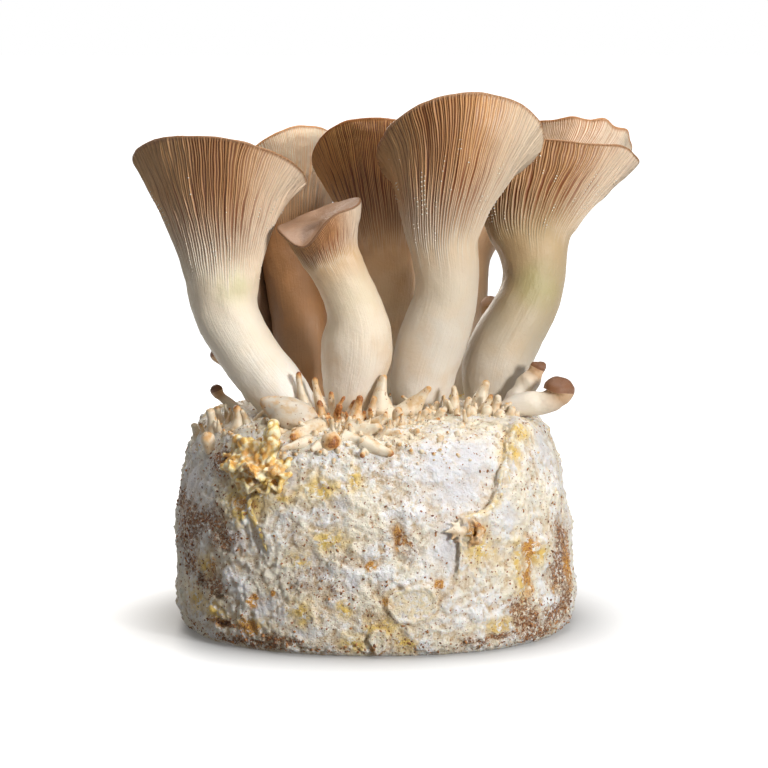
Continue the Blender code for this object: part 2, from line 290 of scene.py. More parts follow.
def places(piece):
    found = np.zeros(len(piece.data.vertices) * 3, np.float32)
    piece.data.vertices.foreach_get("co", found)
    return found.reshape(-1, 3).astype(float) / MM


def put(piece, where):
    piece.data.vertices.foreach_set("co", (where * MM).astype(np.float32).ravel())
    piece.data.update()


def normals(piece):
    found = np.zeros(len(piece.data.vertices) * 3, np.float32)
    piece.data.vertex_normals.foreach_get("vector", found)
    return found.reshape(-1, 3).astype(float)


def marks(piece, name):
    found = np.zeros(len(piece.data.vertices), np.float32)
    piece.data.attributes[name].data.foreach_get("value", found)
    return found.astype(float)


def mark(piece, name, value):
    layer = piece.data.attributes.get(name) or piece.data.attributes.new(name, "FLOAT", "POINT")
    layer.data.foreach_set("value", np.asarray(value, np.float32))


def lumps(where, size, seed=0.0, detail=1):
    """Smooth noise for each place, about -1 to 1, with lumps of that size."""
    where = np.asarray(where, float) / size + seed
    return np.array([noise.fractal(Vector(place), 1.0, 2.0, detail) for place in where])


def smooth_step(low, high, value):
    share = np.clip((value - low) / (high - low), 0, 1)
    return share * share * (3 - 2 * share)


def hill(value, middle, width):
    """1 at the middle, falling off smoothly on both sides."""
    return np.exp(-((value - middle) / width) ** 2)


def rough(*place):
    """Smooth noise for one place."""
    return noise.noise(Vector(place))


def swell(piece, amount):
    """Moves each vertex that many millimetres along its normal."""
    put(piece, places(piece) + normals(piece) * amount[:, None])


def triangles(piece):
    return sum(len(face.vertices) - 2 for face in piece.data.polygons)


def open_mesh(piece, kind):
    """Edit mode, with vertices, edges or faces to select and none selected."""
    pick(piece)
    bpy.ops.object.mode_set(mode="EDIT")
    bpy.ops.mesh.select_mode(type=kind)
    bpy.ops.mesh.select_all(action="DESELECT")


def close_mesh():
    bpy.ops.mesh.select_mode(type="VERT")
    bpy.ops.object.mode_set(mode="OBJECT")


# %% Helpers for rings
Ring = namedtuple("Ring", "place frame across deep")
CAGE_SIDES = 24
ROUNDING = 1.0115      # Subdivision Surface draws a 24-sided ring in by this much


def ring_frame(axis):
    side = (Vector((1, 0, 0)) - axis * axis.x).normalized()
    return Matrix((side, axis.cross(side), axis)).transposed()


def start_ring(name, place, axis, radius, along, sides=CAGE_SIDES):
    """A new mesh that is one circle, left in edit mode with the circle selected."""
    frame = ring_frame(axis)
    deselect()
    bpy.ops.mesh.primitive_circle_add(vertices=sides, radius=radius * MM,
                                      location=place * MM, rotation=frame.to_euler())
    piece = bpy.context.object
    piece.name = piece.data.name = name
    bpy.ops.object.transform_apply(location=True, rotation=True, scale=True)
    turns = (places(piece) - np.array(place)) @ np.array(frame) / radius
    mark(piece, "turn_x", turns[:, 0])
    mark(piece, "turn_y", turns[:, 1])
    mark(piece, "along", np.full(sides, along))
    bpy.ops.object.mode_set(mode="EDIT")
    bpy.ops.mesh.select_all(action="SELECT")
    return piece, Ring(place, frame, radius, radius)


def next_ring(piece, last, place, axis, across, deep, along):
    """Extrudes the selected ring to its next station and turns and scales it there."""
    frame = ring_frame(axis)
    centre = place * MM
    bpy.ops.mesh.extrude_edges_move(
        TRANSFORM_OT_translate={"value": (place - last.place) * MM})
    for letter, turn in zip("XYZ", (frame @ last.frame.transposed()).to_euler()):
        bpy.ops.transform.rotate(value=-turn, orient_axis=letter, center_override=centre)
    bpy.ops.transform.resize(value=(across / last.across, deep / last.deep, 1),
                             orient_matrix=frame, orient_matrix_type="GLOBAL",
                             center_override=centre)
    bm = bmesh.from_edit_mesh(piece.data)
    layers = bm.verts.layers.float
    for vert in bm.verts:
        if vert.select:
            vert[layers["along"]] = along
    bmesh.update_edit_mesh(piece.data)
    return Ring(place, frame, across, deep)


def close_end(place, last):
    """Draws the last ring together into a pole."""
    bpy.ops.mesh.extrude_edges_move(
        TRANSFORM_OT_translate={"value": (place - last.place) * MM})
    bpy.ops.mesh.merge(type="CENTER")
    bpy.ops.object.mode_set(mode="OBJECT")


def close_foot(piece):
    """Fills the open foot, which is sunk in the block."""
    open_mesh(piece, "EDGE")
    bpy.ops.mesh.select_non_manifold()
    bpy.ops.mesh.edge_face_add()
    bpy.ops.mesh.select_all(action="SELECT")
    bpy.ops.mesh.normals_make_consistent(inside=False)
    close_mesh()


# %% [markdown]
# ### The stations of each mushroom
# A stem is a list of places with its radius there, foot to neck. A cap is the centre of
# its rim, its half widths, how far it leans back and rolls, how late the flare opens, the
# depth of the hollow in its top, the thickness of its margin, and the waves of its rim.

# %% Stations
Cap = namedtuple("Cap", "centre across deep lean roll opening dish lip waves")
STEMS = {
    "mushroom_left": [(-34, -30, 97, 10), (-42, -30, 106, 13), (-53, -29, 119, 13),
                      (-61, -28, 131, 13.5), (-67, -26, 143, 14.5), (-68, -25, 154, 16)],
    "mushroom_centre": [(19, -8, 98, 11), (19.5, -8, 106, 14), (22, -9, 119, 15),
                        (26.5, -11, 133, 15.5), (30.5, -13, 146, 14), (31.5, -15, 157, 14.5),
                        (30, -16, 168, 15)],
    "mushroom_right": [(52, 13, 100, 12), (53, 13, 110, 15), (57, 15, 122, 15.5),
                       (65.3, 17, 136, 14.4), (70.8, 20, 147, 14.2), (72, 22, 158, 14.5),
                       (71, 24, 168, 16.5)],
    "mushroom_front_small": [(-11.5, -24, 100, 10), (-11.5, -24, 110, 13.5), (-9, -25, 121, 15.5),
                             (-8.5, -26, 131, 16), (-8.5, -28, 141, 13), (-12, -29, 150, 11.5),
                             (-15.5, -30, 158, 12), (-19, -31, 165, 12)],
    "mushroom_back_middle": [(-5, 27, 99, 11), (-3, 27, 110, 13), (0.5, 29, 126, 14),
                             (3, 31, 142, 15), (4, 32, 154, 15), (3.5, 33, 165, 14.5)],
    "mushroom_back_left": [(-34, 25, 98, 10), (-34, 28, 108, 12), (-34.5, 33, 121, 12.8),
                           (-35.5, 40, 136, 14), (-37.5, 48, 150, 14.6), (-40, 56, 163, 14.8)],
    "mushroom_back_right": [(35, 42, 99, 6), (37, 44, 108, 5.5), (43, 51, 124, 5),
                            (47, 57, 141, 5), (47, 62, 153, 5), (49, 66, 163, 5.5),
                            (55, 70, 173, 7.5)],
    "mushroom_far_left": [(-44, 46, 98, 8), (-49, 48, 110, 9.6), (-54, 50, 124, 10.2),
                          (-59, 52, 138, 10.4), (-63, 52, 152, 10), (-66, 49, 164, 10)],
    "side_mushroom": [(56, -16, 95, 4.6), (62, -18, 100, 5.2), (69, -20, 100.5, 5.6),
                      (76, -21, 101, 5.6), (80, -21, 104, 5)],
    "young_mushroom_right": [(60, -6, 95, 5.5), (64, -7, 102, 5.2), (68, -7, 108, 4.6),
                             (71, -7, 112, 3.6)],
    "young_mushroom_back": [(49, 41, 97, 3), (49, 42, 112, 2.6), (50, 43, 126, 2.3),
                            (51, 44, 133, 2.2)],
    "young_mushroom_left": [(-62, -8, 95, 2.6), (-66, -8, 99, 2.3), (-70, -8, 102.5, 2)],
    "young_mushroom_far_left": [(-57, 28, 95, 2.2), (-63, 27, 104, 1.9), (-69, 26, 112, 1.7)],
}
CAPS = {
    "mushroom_left": Cap((-69.5, -18, 203), 38.5, 38, 25, -6, 1.5, 9, 2,
                         [(185, 25, 1.5, 0.5), (-60, 25, -1.5, 0), (-20, 30, -1, 0.5)]),
    "mushroom_centre": Cap((36.5, -14, 213.5), 37, 37, 41, 9, 1.35, 9, 2,
                           [(-150, 30, -1, 0), (0, 30, 0, 1)]),
    "mushroom_right": Cap((82, 32, 207), 37, 27, 16, -3, 0.85, 7, 2,
                          [(-8, 14, -3, 1.5), (-35, 16, 2, 0.5), (-120, 30, 1.5, 0)]),
    "mushroom_front_small": Cap((-24, -34, 183), 19, 13, -14, 23, 1.2, 2, 2.2,
                                [(-120, 24, -7, 1.5), (180, 32, 2.5, 0.5), (-64, 22, 3, 0),
                                 (0, 30, 1, 0.5)]),
    "mushroom_back_middle": Cap((-2, 40, 205.5), 28, 28, 46, 2, 1.3, 7, 1.8, []),
    "mushroom_back_left": Cap((-42.5, 72, 202), 25, 25, 37, 28, 0.9, 6, 1.8, [(0, 45, 0, 2)]),
    "mushroom_back_right": Cap((93, 88, 210), 28, 24, 34, 0, 1.3, 5, 1.8,
                               [(-62, 8, 1.6, 1.6), (-78, 5, -1, -1.4), (-94, 8, 1.4, 1.4),
                                (-112, 6, -1.2, -1.4), (-130, 9, 1.8, 1), (-150, 8, -1, -1),
                                (-45, 6, -2, -1.6), (-28, 8, 1.6, 1.6), (-10, 6, -1.6, -1.8),
                                (10, 9, 1, 1.4)]),
    "mushroom_far_left": Cap((-79, 40, 188), 17, 16, 15, 10, 1.3, 4, 1.8, []),
    "side_mushroom": Cap((81, -21, 107), 6.9, 6.2, 4, -10, 1, -2.2, 1.6, [(-100, 30, -1, 0.4)]),
    "young_mushroom_right": Cap((72.4, -7, 115), 3.5, 3.4, 0, -25, 1, -2, 1, []),
    "young_mushroom_back": Cap((52.4, 44, 139), 4.3, 4.3, 0, 10, 1, -2.6, 1, []),
    "young_mushroom_left": Cap((-72, -8, 105), 3, 3, 0, 20, 1, -1.6, 0.8, []),
    "young_mushroom_far_left": Cap((-74, 26, 117.5), 2.8, 2.8, 0, 25, 1, -1.4, 0.8, []),
}
TRUMPETS = [name for name in STEMS if name.startswith("mushroom_")]
SMALL_HEADS = [name for name in STEMS if name not in TRUMPETS]

# %% [markdown]
# The cage follows a smooth curve through the stem's stations. The flare then leaves in the
# stem's own direction and turns towards the rim's axis on the way, rises over the thin
# margin, and goes down into the hollow of the cap. Slow noise and the listed waves push
# each ring of the flare, so that no rim is a true circle.

# %% Growing the cage
FULL_CAP = 37                   # half width of a full-grown cap, which noise and gills scale with
FOOT_DEPTH = 4
STEM_RINGS = 10
SMALL_STEM_RINGS = 6
HOLLOW_RINGS = (0.985, 0.94, 0.82, 0.6, 0.32)   # from the margin in, as shares of the rim
FLARE_STEPS = (0.09, 0.2, 0.32, 0.44, 0.56, 0.67, 0.77, 0.86, 0.93, 0.98, 1.0)
SMALL_FLARE_STEPS = (0.35, 0.7, 0.93, 1.0)
TURN_POWER = 1.2
RIM_PULL = 0.8
MARGIN = 0.8                    # thickness of the flesh at a trumpet's rim
RIM_WOBBLE = 1.5                # how far noise lifts and lowers the rim of a full-grown cap


def smooth_path(stations, count):
    """Points at even steps on a smooth curve through the stations, radius included."""
    points = [Vector(station) for station in stations]
    points = [points[0] * 2 - points[1], *points, points[-1] * 2 - points[-2]]
    spans = len(points) - 3
    path = []
    for index in range(count):
        where = spans * index / (count - 1)
        span = min(int(where), spans - 1)
        t = where - span
        a, b, c, d = points[span:span + 4]
        path.append((b * 2 + (c - a) * t + (a * 2 - b * 5 + c * 4 - d) * t ** 2
                     + (b * 3 - a - c * 3 + d) * t ** 3) / 2)
    return path


def direction_at(path, index):
    before = path[max(index - 1, 0)].xyz
    after = path[min(index + 1, len(path) - 1)].xyz
    return (after - before).normalized()


def rim_axis(cap):
    lean, roll = math.radians(cap.lean), math.radians(cap.roll)
    return Vector((-math.sin(roll) * math.cos(lean), math.sin(lean),
                   math.cos(lean) * math.cos(roll))).normalized()


def push_rim(piece, cap, frame, share):
    """Adds the rim's waves to the selected ring."""
    bm = bmesh.from_edit_mesh(piece.data)
    layers = bm.verts.layers.float
    for vert in bm.verts:
        if not vert.select:
            continue
        x, y = vert[layers["turn_x"]], vert[layers["turn_y"]]
        outward = frame.col[0] * x + frame.col[1] * y
        vert.co += frame.col[2] * (rough(x * 2.4, y * 2.4, cap.across) * cap.across / FULL_CAP
                                   * RIM_WOBBLE * share * MM)
        for place, width, rise, reach in cap.waves:
            off = (math.degrees(math.atan2(y, x)) - place + 180) % 360 - 180
            weight = math.exp(-(off / width) ** 2) * share * MM
            vert.co += (outward * reach + frame.col[2] * rise) * weight
    bmesh.update_edit_mesh(piece.data)


def grow_cage(name, stem, cap, stem_rings, flare_steps, margin=MARGIN):
    """The smooth body of a mushroom, with its marks."""
    path = smooth_path(stem, stem_rings)
    first = direction_at(path, 0)
    foot = path[0].xyz - first * FOOT_DEPTH
    piece, ring = start_ring(name, foot, first, path[0].w * ROUNDING, -1.1)
    for index, station in enumerate(path):
        direction = direction_at(path, index)
        wide = station.w * ROUNDING
        ring = next_ring(piece, ring, station.xyz, direction, wide, wide,
                         index / (stem_rings - 1) - 1)
    start, radius = path[-1].xyz, path[-1].w
    centre, axis = Vector(cap.centre), rim_axis(cap)
    length = (centre - start).length
    edge = cap.lip - margin
    pushed = 0
    for t in flare_steps:
        place = (start * (2 * t ** 3 - 3 * t ** 2 + 1)
                 + direction * length * (t ** 3 - 2 * t ** 2 + t)
                 + centre * (3 * t ** 2 - 2 * t ** 3)
                 + axis * (length * RIM_PULL * (t ** 3 - t ** 2) + edge * t ** 4))
        normal = (direction * (1 - t ** TURN_POWER) + axis * t ** TURN_POWER).normalized()
        wide = t ** cap.opening
        across = (radius + (cap.across - radius) * wide) * ROUNDING
        deep = (radius + (cap.deep - radius) * wide) * ROUNDING
        ring = next_ring(piece, ring, place, normal, across, deep, t)
        push_rim(piece, cap, ring.frame, t ** 2 - pushed)
        pushed = t ** 2
    for step, share in enumerate(HOLLOW_RINGS):
        sunk = cap.lip if share > 0.97 else cap.lip - cap.dish * (1 - share ** 2.6)
        ring = next_ring(piece, ring, centre + axis * sunk, axis, cap.across * share * ROUNDING,
                         cap.deep * share * ROUNDING, 1.1 + step * 0.2)
        push_rim(piece, cap, ring.frame, share - pushed)
        pushed = share
    close_end(centre + axis * (cap.lip - cap.dish), ring)
    apply(piece, "SUBSURF", levels=2, render_levels=2)
    close_foot(piece)
    return piece


trumpets = {}
for name in TRUMPETS:
    trumpets[name] = grow_cage(name.replace("mushroom", "trumpet"), STEMS[name], CAPS[name],
                               STEM_RINGS, FLARE_STEPS)
    where = places(trumpets[name])
    swell(trumpets[name], lumps(where, 10, 1.1) * 0.5 + lumps(where, 3.5, 7.4) * 0.22)
    print(name, triangles(trumpets[name]), "triangles")

# %% [markdown]
# ### Gills
# The gills of a king oyster are thin plates that run down from the rim, fork and join on
# the way, and fade into the stem. Modelling each plate would take hundreds of pieces, and
# a bump texture would leave the rim smooth and the mesh itself plain. So the flare's rings alone
# are subdivided until each plate is a few columns wide, and the columns between the
# plates are then pushed in. Every plate gets its own start, strength and wander. The
# three large mushrooms in front have six columns to a plate, and the rest, which are
# smaller or stand behind, have four.

# %% Splitting the flare into columns
GILLS = CAGE_SIDES * 4          # one for each column of the smoothed cage
FRONT_COLUMNS = 6
BACK_COLUMNS = 4
LARGE_FRONT = ("mushroom_left", "mushroom_centre", "mushroom_right")


def split_columns(piece, low, high, cuts):
    """Cuts only the edges that run round the body, between two values of along."""
    open_mesh(piece, "EDGE")
    bm = bmesh.from_edit_mesh(piece.data)
    layer = bm.verts.layers.float["along"]
    for edge in bm.edges:
        first, second = (vert[layer] for vert in edge.verts)
        edge.select = abs(first - second) < 1e-4 and low <= first <= high
    bmesh.update_edit_mesh(piece.data)
    bpy.ops.mesh.subdivide(number_cuts=cuts)
    close_mesh()


def flare_grid(piece, columns):
    """The flare's vertices as rows up the body and columns round it, and the rows' along."""
    along = marks(piece, "along")
    angle = np.arctan2(marks(piece, "turn_y"), marks(piece, "turn_x"))
    column = np.round(angle / (2 * np.pi) * columns).astype(int) % columns
    level = np.round(along * 1e4).astype(int)
    rows, counts = np.unique(level, return_counts=True)
    rows = rows[counts == columns]
    grid = np.full((len(rows), columns), -1)
    for index, row in enumerate(rows):
        found = np.nonzero(level == row)[0]
        grid[index, column[found]] = found
    return grid, rows / 1e4


# %% [markdown]
# A column's share says where it lies between one gill and the next. Near 0 and 1 it is on
# a plate, and halfway up the flare short plates start in the middle of each gap. All else
# is sunk, deeper towards the rim. How deep a vertex lies is kept as its **gap**, and
# whether it is among gills at all as **gilled**, for the colours.

# %% Carving the gills
GILL_DEPTH = 1.65               # of a full-grown cap


def carve_gills(piece, cap, per_gill, seed):
    """Pushes in the columns between the gills and stores how deep each vertex lies."""
    columns = GILLS * per_gill
    grid, rows = flare_grid(piece, columns)
    where, outward = places(piece)[grid], normals(piece)[grid]
    t = rows[:, None]
    wander = np.array([[rough(gill * 0.9, row * 3.2, seed) + 0.7 * rough(gill * 0.13, row * 3, seed + 9)
                        + 0.3 * rough(gill * 2.3, row * 11, seed + 4)
                        for gill in range(GILLS)] for row in rows])
    begin = np.array([0.16 * rough(gill * 0.37, seed, 3) + 0.12 * rough(gill * 1.7, seed, 5)
                      for gill in range(GILLS)])
    strong = np.array([[0.84 + 0.34 * rough(gill * 1.3, row * 2.5, seed + 7)
                        for gill in range(GILLS)] for row in rows])
    place = np.arange(columns) / per_gill
    left = np.floor(place).astype(int) % GILLS
    right = (left + 1) % GILLS
    share = place - np.floor(place)
    drift = wander[:, left] * (1 - share) + wander[:, right] * share
    moved = np.arange(columns) + drift * per_gill * 0.55 * smooth_step(-0.1, 0.3, t)
    low = np.floor(moved).astype(int)
    part = (moved - low)[..., None]
    row_index = np.arange(len(rows))[:, None]
    where = (where[row_index, low % columns] * (1 - part)
             + where[row_index, (low + 1) % columns] * part)
    near = np.where(share < 0.5, left, right)
    main = (1 - smooth_step(0.12, 0.27, np.minimum(share, 1 - share))) * strong[:, near]
    short_start = 0.34 + 0.2 * np.sin(left * 2.4 + seed)
    short = (1 - smooth_step(0.08, 0.2, np.abs(share - 0.5))) * smooth_step(0, 0.3, t - short_start)
    height = np.maximum(main, short * 0.92)
    present = smooth_step(0, 0.34, t - begin[near] + 0.1) * (1 - smooth_step(0.985, 1.0, t))
    deep = GILL_DEPTH * cap.across / FULL_CAP * (0.12 + 1.15 * t)
    sunk = present * ((1 - height) * deep - 0.25)
    where = where - outward * sunk[..., None]
    all_places = places(piece)
    all_places[grid] = where
    put(piece, all_places)
    gap, ridge = np.zeros(len(all_places)), np.zeros(len(all_places))
    gap[grid] = present * (1 - height)
    ridge[grid] = present
    mark(piece, "gap", gap)
    mark(piece, "gilled", ridge)


for number, (name, piece) in enumerate(trumpets.items()):
    per_gill = FRONT_COLUMNS if name in LARGE_FRONT else BACK_COLUMNS
    split_columns(piece, -0.24, 1.12, per_gill - 1)
    carve_gills(piece, CAPS[name], per_gill, seed=number * 11.3)
    pick(piece)
    bpy.ops.object.shade_smooth()
    print(name, triangles(piece), "triangles")

# %% [markdown]
# ### Flesh
# The flesh is a satin ivory that lets a little light through. Fine fibres run the length
# of the stem, so their noise is stretched along the mesh's own marks instead of lying in
# space. Between the gills it is brown, partly the flesh's own tan and partly painted shade,
# and the skin on the cap's top is a greyish tan. The right side of each flare, towards the
# key light, is painted paler as painted light, and a painted shade darkens the gills high
# up on one side.

# %% Mushroom finish
def flesh(name, low=(238, 233, 225), stem=(238, 228, 210), neck=(236, 216, 186),
          ridge=(216, 168, 114), gap=(132, 74, 28), skin=(166, 122, 82),
          hollow=(176, 146, 120), pale=(236, 216, 192), tint=(216, 211, 164),
          tint_at=(-62, -41, 158), painted_shade_at=-0.05, painted_shade_strength=0.9, behind=None):
    """tint is a greenish bruise at tint_at. A painted shade darkens the gills high up the
    flare, most on the side painted_shade_at, as much as dusky says. behind is the stem's own colour
    on the side away from the camera, for stems whose front colours are painted shade."""
    made, tree, shader = finish_material(name, 0.46, 0.1)
    along, gapped, gilled = (reading(tree, mark_name) for mark_name in ("along", "gap", "gilled"))
    turn_x, turn_y = reading(tree, "turn_x"), reading(tree, "turn_y")
    around = add_node(tree, "CombineXYZ", {"X": turn_x, "Y": turn_y,
                                           "Z": scaled(tree, along, 0.2)})
    fibres = add_node(tree, "TexNoise", {"Vector": around.outputs[0], "Scale": 22.0,
                                         "Detail": 5.0, "Roughness": 0.62}).outputs["Fac"]
    spot = add_node(tree, "TexCoord").outputs["Object"]
    clouds = mottle(tree, spot, 17)
    grain = mottle(tree, spot, 1.6, 3.0)
    rising = mixed(tree, between(tree, along, -0.95, -0.35), colour(*low), colour(*stem))
    ivory = mixed(tree, between(tree, along, -0.45, 0.2), rising, colour(*neck))
    clouded = mixed(tree, between(tree, clouds, 0.42, 0.72, 0.0, 0.4), ivory, colour(*neck))
    tint_off = add_node(tree, "VectorMath", {0: spot, 1: Vector(tint_at) * MM}, operation="DISTANCE")
    tinting = scaled(tree, between(tree, clouds, 0.3, 0.6, 0.35, 1.0),
                     between(tree, tint_off.outputs["Value"], 4 * MM, 16 * MM, 0.7, 0.0))
    tinted = mixed(tree, tinting, clouded, colour(*tint))
    if behind:
        tinted = mixed(tree, between(tree, turn_y, -0.1, 0.7), tinted, colour(*behind))
    streaked = mixed(tree, between(tree, fibres, 0.5, 0.78, 0.0, 0.22), tinted, colour(*neck))
    plates = mixed(tree, between(tree, along, 0.1, 0.7), colour(*stem), colour(*ridge))
    # painted light: ridges and gaps on the right of each flare, towards the key light, are painted paler
    lit_side = mixed(tree, between(tree, turn_x, 0.15, 0.95, 0.0, 0.8), plates, colour(*pale))
    on_gills = mixed(tree, between(tree, gilled, 0.0, 0.9), streaked, lit_side)
    gap_lit_right = mixed(tree, between(tree, turn_x, 0.3, 1.0, 0.0, 0.4), colour(*gap), colour(*pale))
    # painted shade: the gaps between the gills are painted a darker brown than the ridges, on top of the
    # shade their depth gets
    shade = mixed(tree, between(tree, along, -0.05, 0.55), colour(*neck), gap_lit_right)
    in_gaps = mixed(tree, between(tree, gapped, 0.1, 0.9), on_gills, shade)
    # painted shade: the gills high up the flare are darkened, most on one side
    aside = reckon(tree, "ABSOLUTE", reckon(tree, "SUBTRACT", turn_x, painted_shade_at))
    high_up = scaled(tree, between(tree, along, 0.35, 0.8),
                     between(tree, along, 0.99, 1.0, 1.0, 0.0))
    painted_shade = scaled(tree, high_up, between(tree, aside, 0.08, 0.6, painted_shade_strength, 0.0))
    deeper = scaled(tree, painted_shade, between(tree, gapped, 0.0, 1.0, 0.65, 1.0))
    in_gaps = mixed(tree, deeper, in_gaps, colour(186, 156, 118), "MULTIPLY")
    margin = mixed(tree, between(tree, along, 0.97, 0.995, 0.0, 0.8), in_gaps, colour(*skin))
    dished = mixed(tree, between(tree, clouds, 0.35, 0.65, 0.0, 0.5), colour(*hollow), colour(*skin))
    top = mixed(tree, between(tree, along, 1.08, 1.3), colour(*skin), dished)
    feed(tree, shader.inputs["Base Color"], mixed(tree, between(tree, along, 0.99, 1.0), margin, top))
    fine = raised(tree, fibres, 0.45, 0.6)
    feed(tree, shader.inputs["Normal"], raised(tree, grain, 0.35, 0.6, under=fine))
    return made


flesh_finish = flesh("king_oyster_flesh")
finishes = {
    # partly painted shade: the centre and right stems are darker than the left, partly their own tone and
    # partly painted for shade
    "mushroom_centre": flesh("centre_flesh", low=(228, 221, 211), stem=(214, 204, 188),
                             neck=(216, 190, 156), tint=(224, 210, 186), tint_at=(28, -27, 152),
                             pale=(222, 204, 180), painted_shade_at=-0.3),
    "mushroom_right": flesh("right_flesh", low=(204, 194, 180), stem=(180, 162, 128),
                            neck=(196, 166, 122), ridge=(206, 162, 112), tint=(166, 158, 100),
                            tint_at=(74, 6, 151), painted_shade_strength=0.45),
    "mushroom_front_small": flesh("front_flesh", low=(234, 226, 214), stem=(228, 212, 188),
                                  neck=(208, 170, 122), ridge=(208, 152, 94), gap=(138, 82, 34),
                                  skin=(136, 98, 66), hollow=(172, 138, 112), tint=(226, 212, 182),
                                  tint_at=(-9, -40, 150), painted_shade_strength=0.3),
    "mushroom_back_middle": flesh("back_middle_flesh", stem=(212, 184, 148), neck=(200, 154, 106),
                                  ridge=(220, 160, 94), gap=(112, 58, 16), skin=(184, 122, 64),
                                  painted_shade_strength=0.35),
    # painted shade and light: this stem's front is painted dark for the shade it stands in, behind holds
    # its own colour, and its gills are painted pale for the light on them
    "mushroom_back_left": flesh("back_left_flesh_painted_shade_and_light", low=(160, 126, 92), stem=(138, 98, 60),
                                neck=(166, 116, 70), ridge=(255, 240, 214), gap=(244, 204, 160),
                                skin=(220, 166, 114), painted_shade_strength=0.0, behind=(224, 204, 174)),
    "mushroom_back_right": flesh("back_right_flesh", stem=(226, 190, 148), neck=(232, 196, 158),
                                 ridge=(244, 218, 186), gap=(176, 122, 78), skin=(190, 138, 92),
                                 painted_shade_strength=0.0),
    # painted shade: this stem's front is painted dark for the deep shade it stands in, and behind holds its
    # own colour
    "mushroom_far_left": flesh("far_left_flesh_painted_shade", low=(118, 90, 66), stem=(108, 80, 56),
                               neck=(104, 74, 50), behind=(214, 194, 166)),
}
for name, piece in trumpets.items():
    piece.data.materials.append(finishes.get(name, flesh_finish))
    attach(piece, "root")
    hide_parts(name)

# %% [markdown]
# ### The small mushrooms
# The young ones have closed round heads without visible gills, so the same cage serves
# with a dome in place of the hollow and a thick rolled margin.

# %% The small mushrooms
DOME = 0.62                     # height of a small head's dome, as a share of its half width
HEAD_OPENING = 0.55             # a small head widens at once
HEAD_MARGIN = 0.36              # thickness of its rolled margin, as a share too
young_finish = flesh("young_flesh", neck=(206, 170, 132), skin=(132, 88, 56),
                     hollow=(128, 88, 62))
pale_head_finish = flesh("pale_head_flesh", neck=(206, 170, 132), skin=(206, 172, 144),
                         hollow=(196, 160, 132))
for name in SMALL_HEADS:
    cap = CAPS[name]
    piece = grow_cage(name.replace("mushroom", "head"), STEMS[name],
                      cap._replace(dish=-DOME * cap.across, opening=HEAD_OPENING),
                      SMALL_STEM_RINGS, SMALL_FLARE_STEPS, margin=cap.across * HEAD_MARGIN)
    for mark_name in ("gap", "gilled"):
        mark(piece, mark_name, np.zeros(len(piece.data.vertices)))
    knobbly = 1.1 if name == "young_mushroom_right" else 0.35
    swell(piece, lumps(places(piece), 4, 2.6) * knobbly)
    pick(piece)
    bpy.ops.object.shade_smooth()
    piece.data.materials.append(pale_head_finish if name == "young_mushroom_back" else young_finish)
    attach(piece, "root")
    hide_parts(name)
    print(name, triangles(piece), "triangles")

# %% [markdown]
# ## The block
# The block is sawdust that was pressed in a bag, and the mycelium's white skin over it is
# all small lumps, threads and beads, with torn layers, stains and brown grains. It starts
# as a disc that is extruded up level by level like the turned outline of a bowl. Voxel
# remesh then gives it even faces, the front is subdivided once more, because it is seen
# closest, and the relief is pushed out of the skin in layers from large to small.

# %% The block's body
BLOCK_OUTLINE = [(85, 0), (89, 5), (90, 14), (89.5, 34), (88, 54), (85.5, 68),
                 (82, 81), (77, 91), (69, 95), (45, 97.5), (20, 99)]
SHOULDER_HEIGHT = 68
BLOCK_SHIFT = -2.5              # the shoulder stands this far off the foot's middle
SQUARENESS = 2.3                # 2 would be round in plan
BODY_SIDES = 36
SKIN_FACE = 1.75                # size of the remesh's faces; the front's are half of it


def block_reach(x, y):
    """Distance from the block's axis, measured so that its squarish outline is level."""
    return (np.abs(x) ** SQUARENESS + np.abs(y) ** SQUARENESS) ** (1 / SQUARENESS)


def block_shift(height):
    return BLOCK_SHIFT * np.clip(height / SHOULDER_HEIGHT, 0, 1)


def top_height(x, y):
    """Height of the smooth block over a point of its top or shoulder."""
    outline = BLOCK_OUTLINE[:4:-1]
    return float(np.interp(block_reach(x - BLOCK_SHIFT, y), [half for half, _ in outline],
                           [height for _, height in outline]))


deselect()
bpy.ops.mesh.primitive_circle_add(vertices=BODY_SIDES, fill_type="NGON", location=(0, 0, 0),
                                  radius=BLOCK_OUTLINE[0][0] * MM)
block = bpy.context.object
block.name = block.data.name = "mycelium_block"
bpy.ops.object.mode_set(mode="EDIT")
bpy.ops.mesh.select_all(action="SELECT")
for (half, low), (next_half, high) in zip(BLOCK_OUTLINE, BLOCK_OUTLINE[1:]):
    bpy.ops.mesh.extrude_region_move(TRANSFORM_OT_translate={"value": (0, 0, (high - low) * MM)})
    bpy.ops.transform.resize(value=(next_half / half, next_half / half, 1),
                             center_override=(0, 0, high * MM))
bpy.ops.mesh.select_all(action="SELECT")
bpy.ops.mesh.normals_make_consistent(inside=False)
bpy.ops.object.mode_set(mode="OBJECT")
where = places(block)
from_middle = np.hypot(where[:, 0], where[:, 1])
squarer = 1 / np.maximum(block_reach(where[:, 0], where[:, 1]) / np.maximum(from_middle, 1e-6), 1e-6)
where[:, :2] *= np.where(from_middle > 1, squarer, 1)[:, None]
where[:, 0] += block_shift(where[:, 2])
put(block, where)
apply(block, "REMESH", mode="VOXEL", voxel_size=SKIN_FACE * MM)
apply(block, "SMOOTH", factor=0.5, iterations=6)
print("block body", triangles(block), "triangles")

# %% A finer front
def refine_front(piece):
    """Subdivides the faces of the front and its shoulder once."""
    open_mesh(piece, "FACE")
    bm = bmesh.from_edit_mesh(piece.data)
    for face in bm.faces:
        middle = face.calc_center_median() / MM
        face.select = middle.y < 0 and middle.z > 1.5 and (face.normal.z < 0.9 or middle.y < -45)
    bmesh.update_edit_mesh(piece.data)
    bpy.ops.mesh.subdivide(number_cuts=1)
    close_mesh()


refine_front(block)
print("block with a finer front", triangles(block), "triangles")

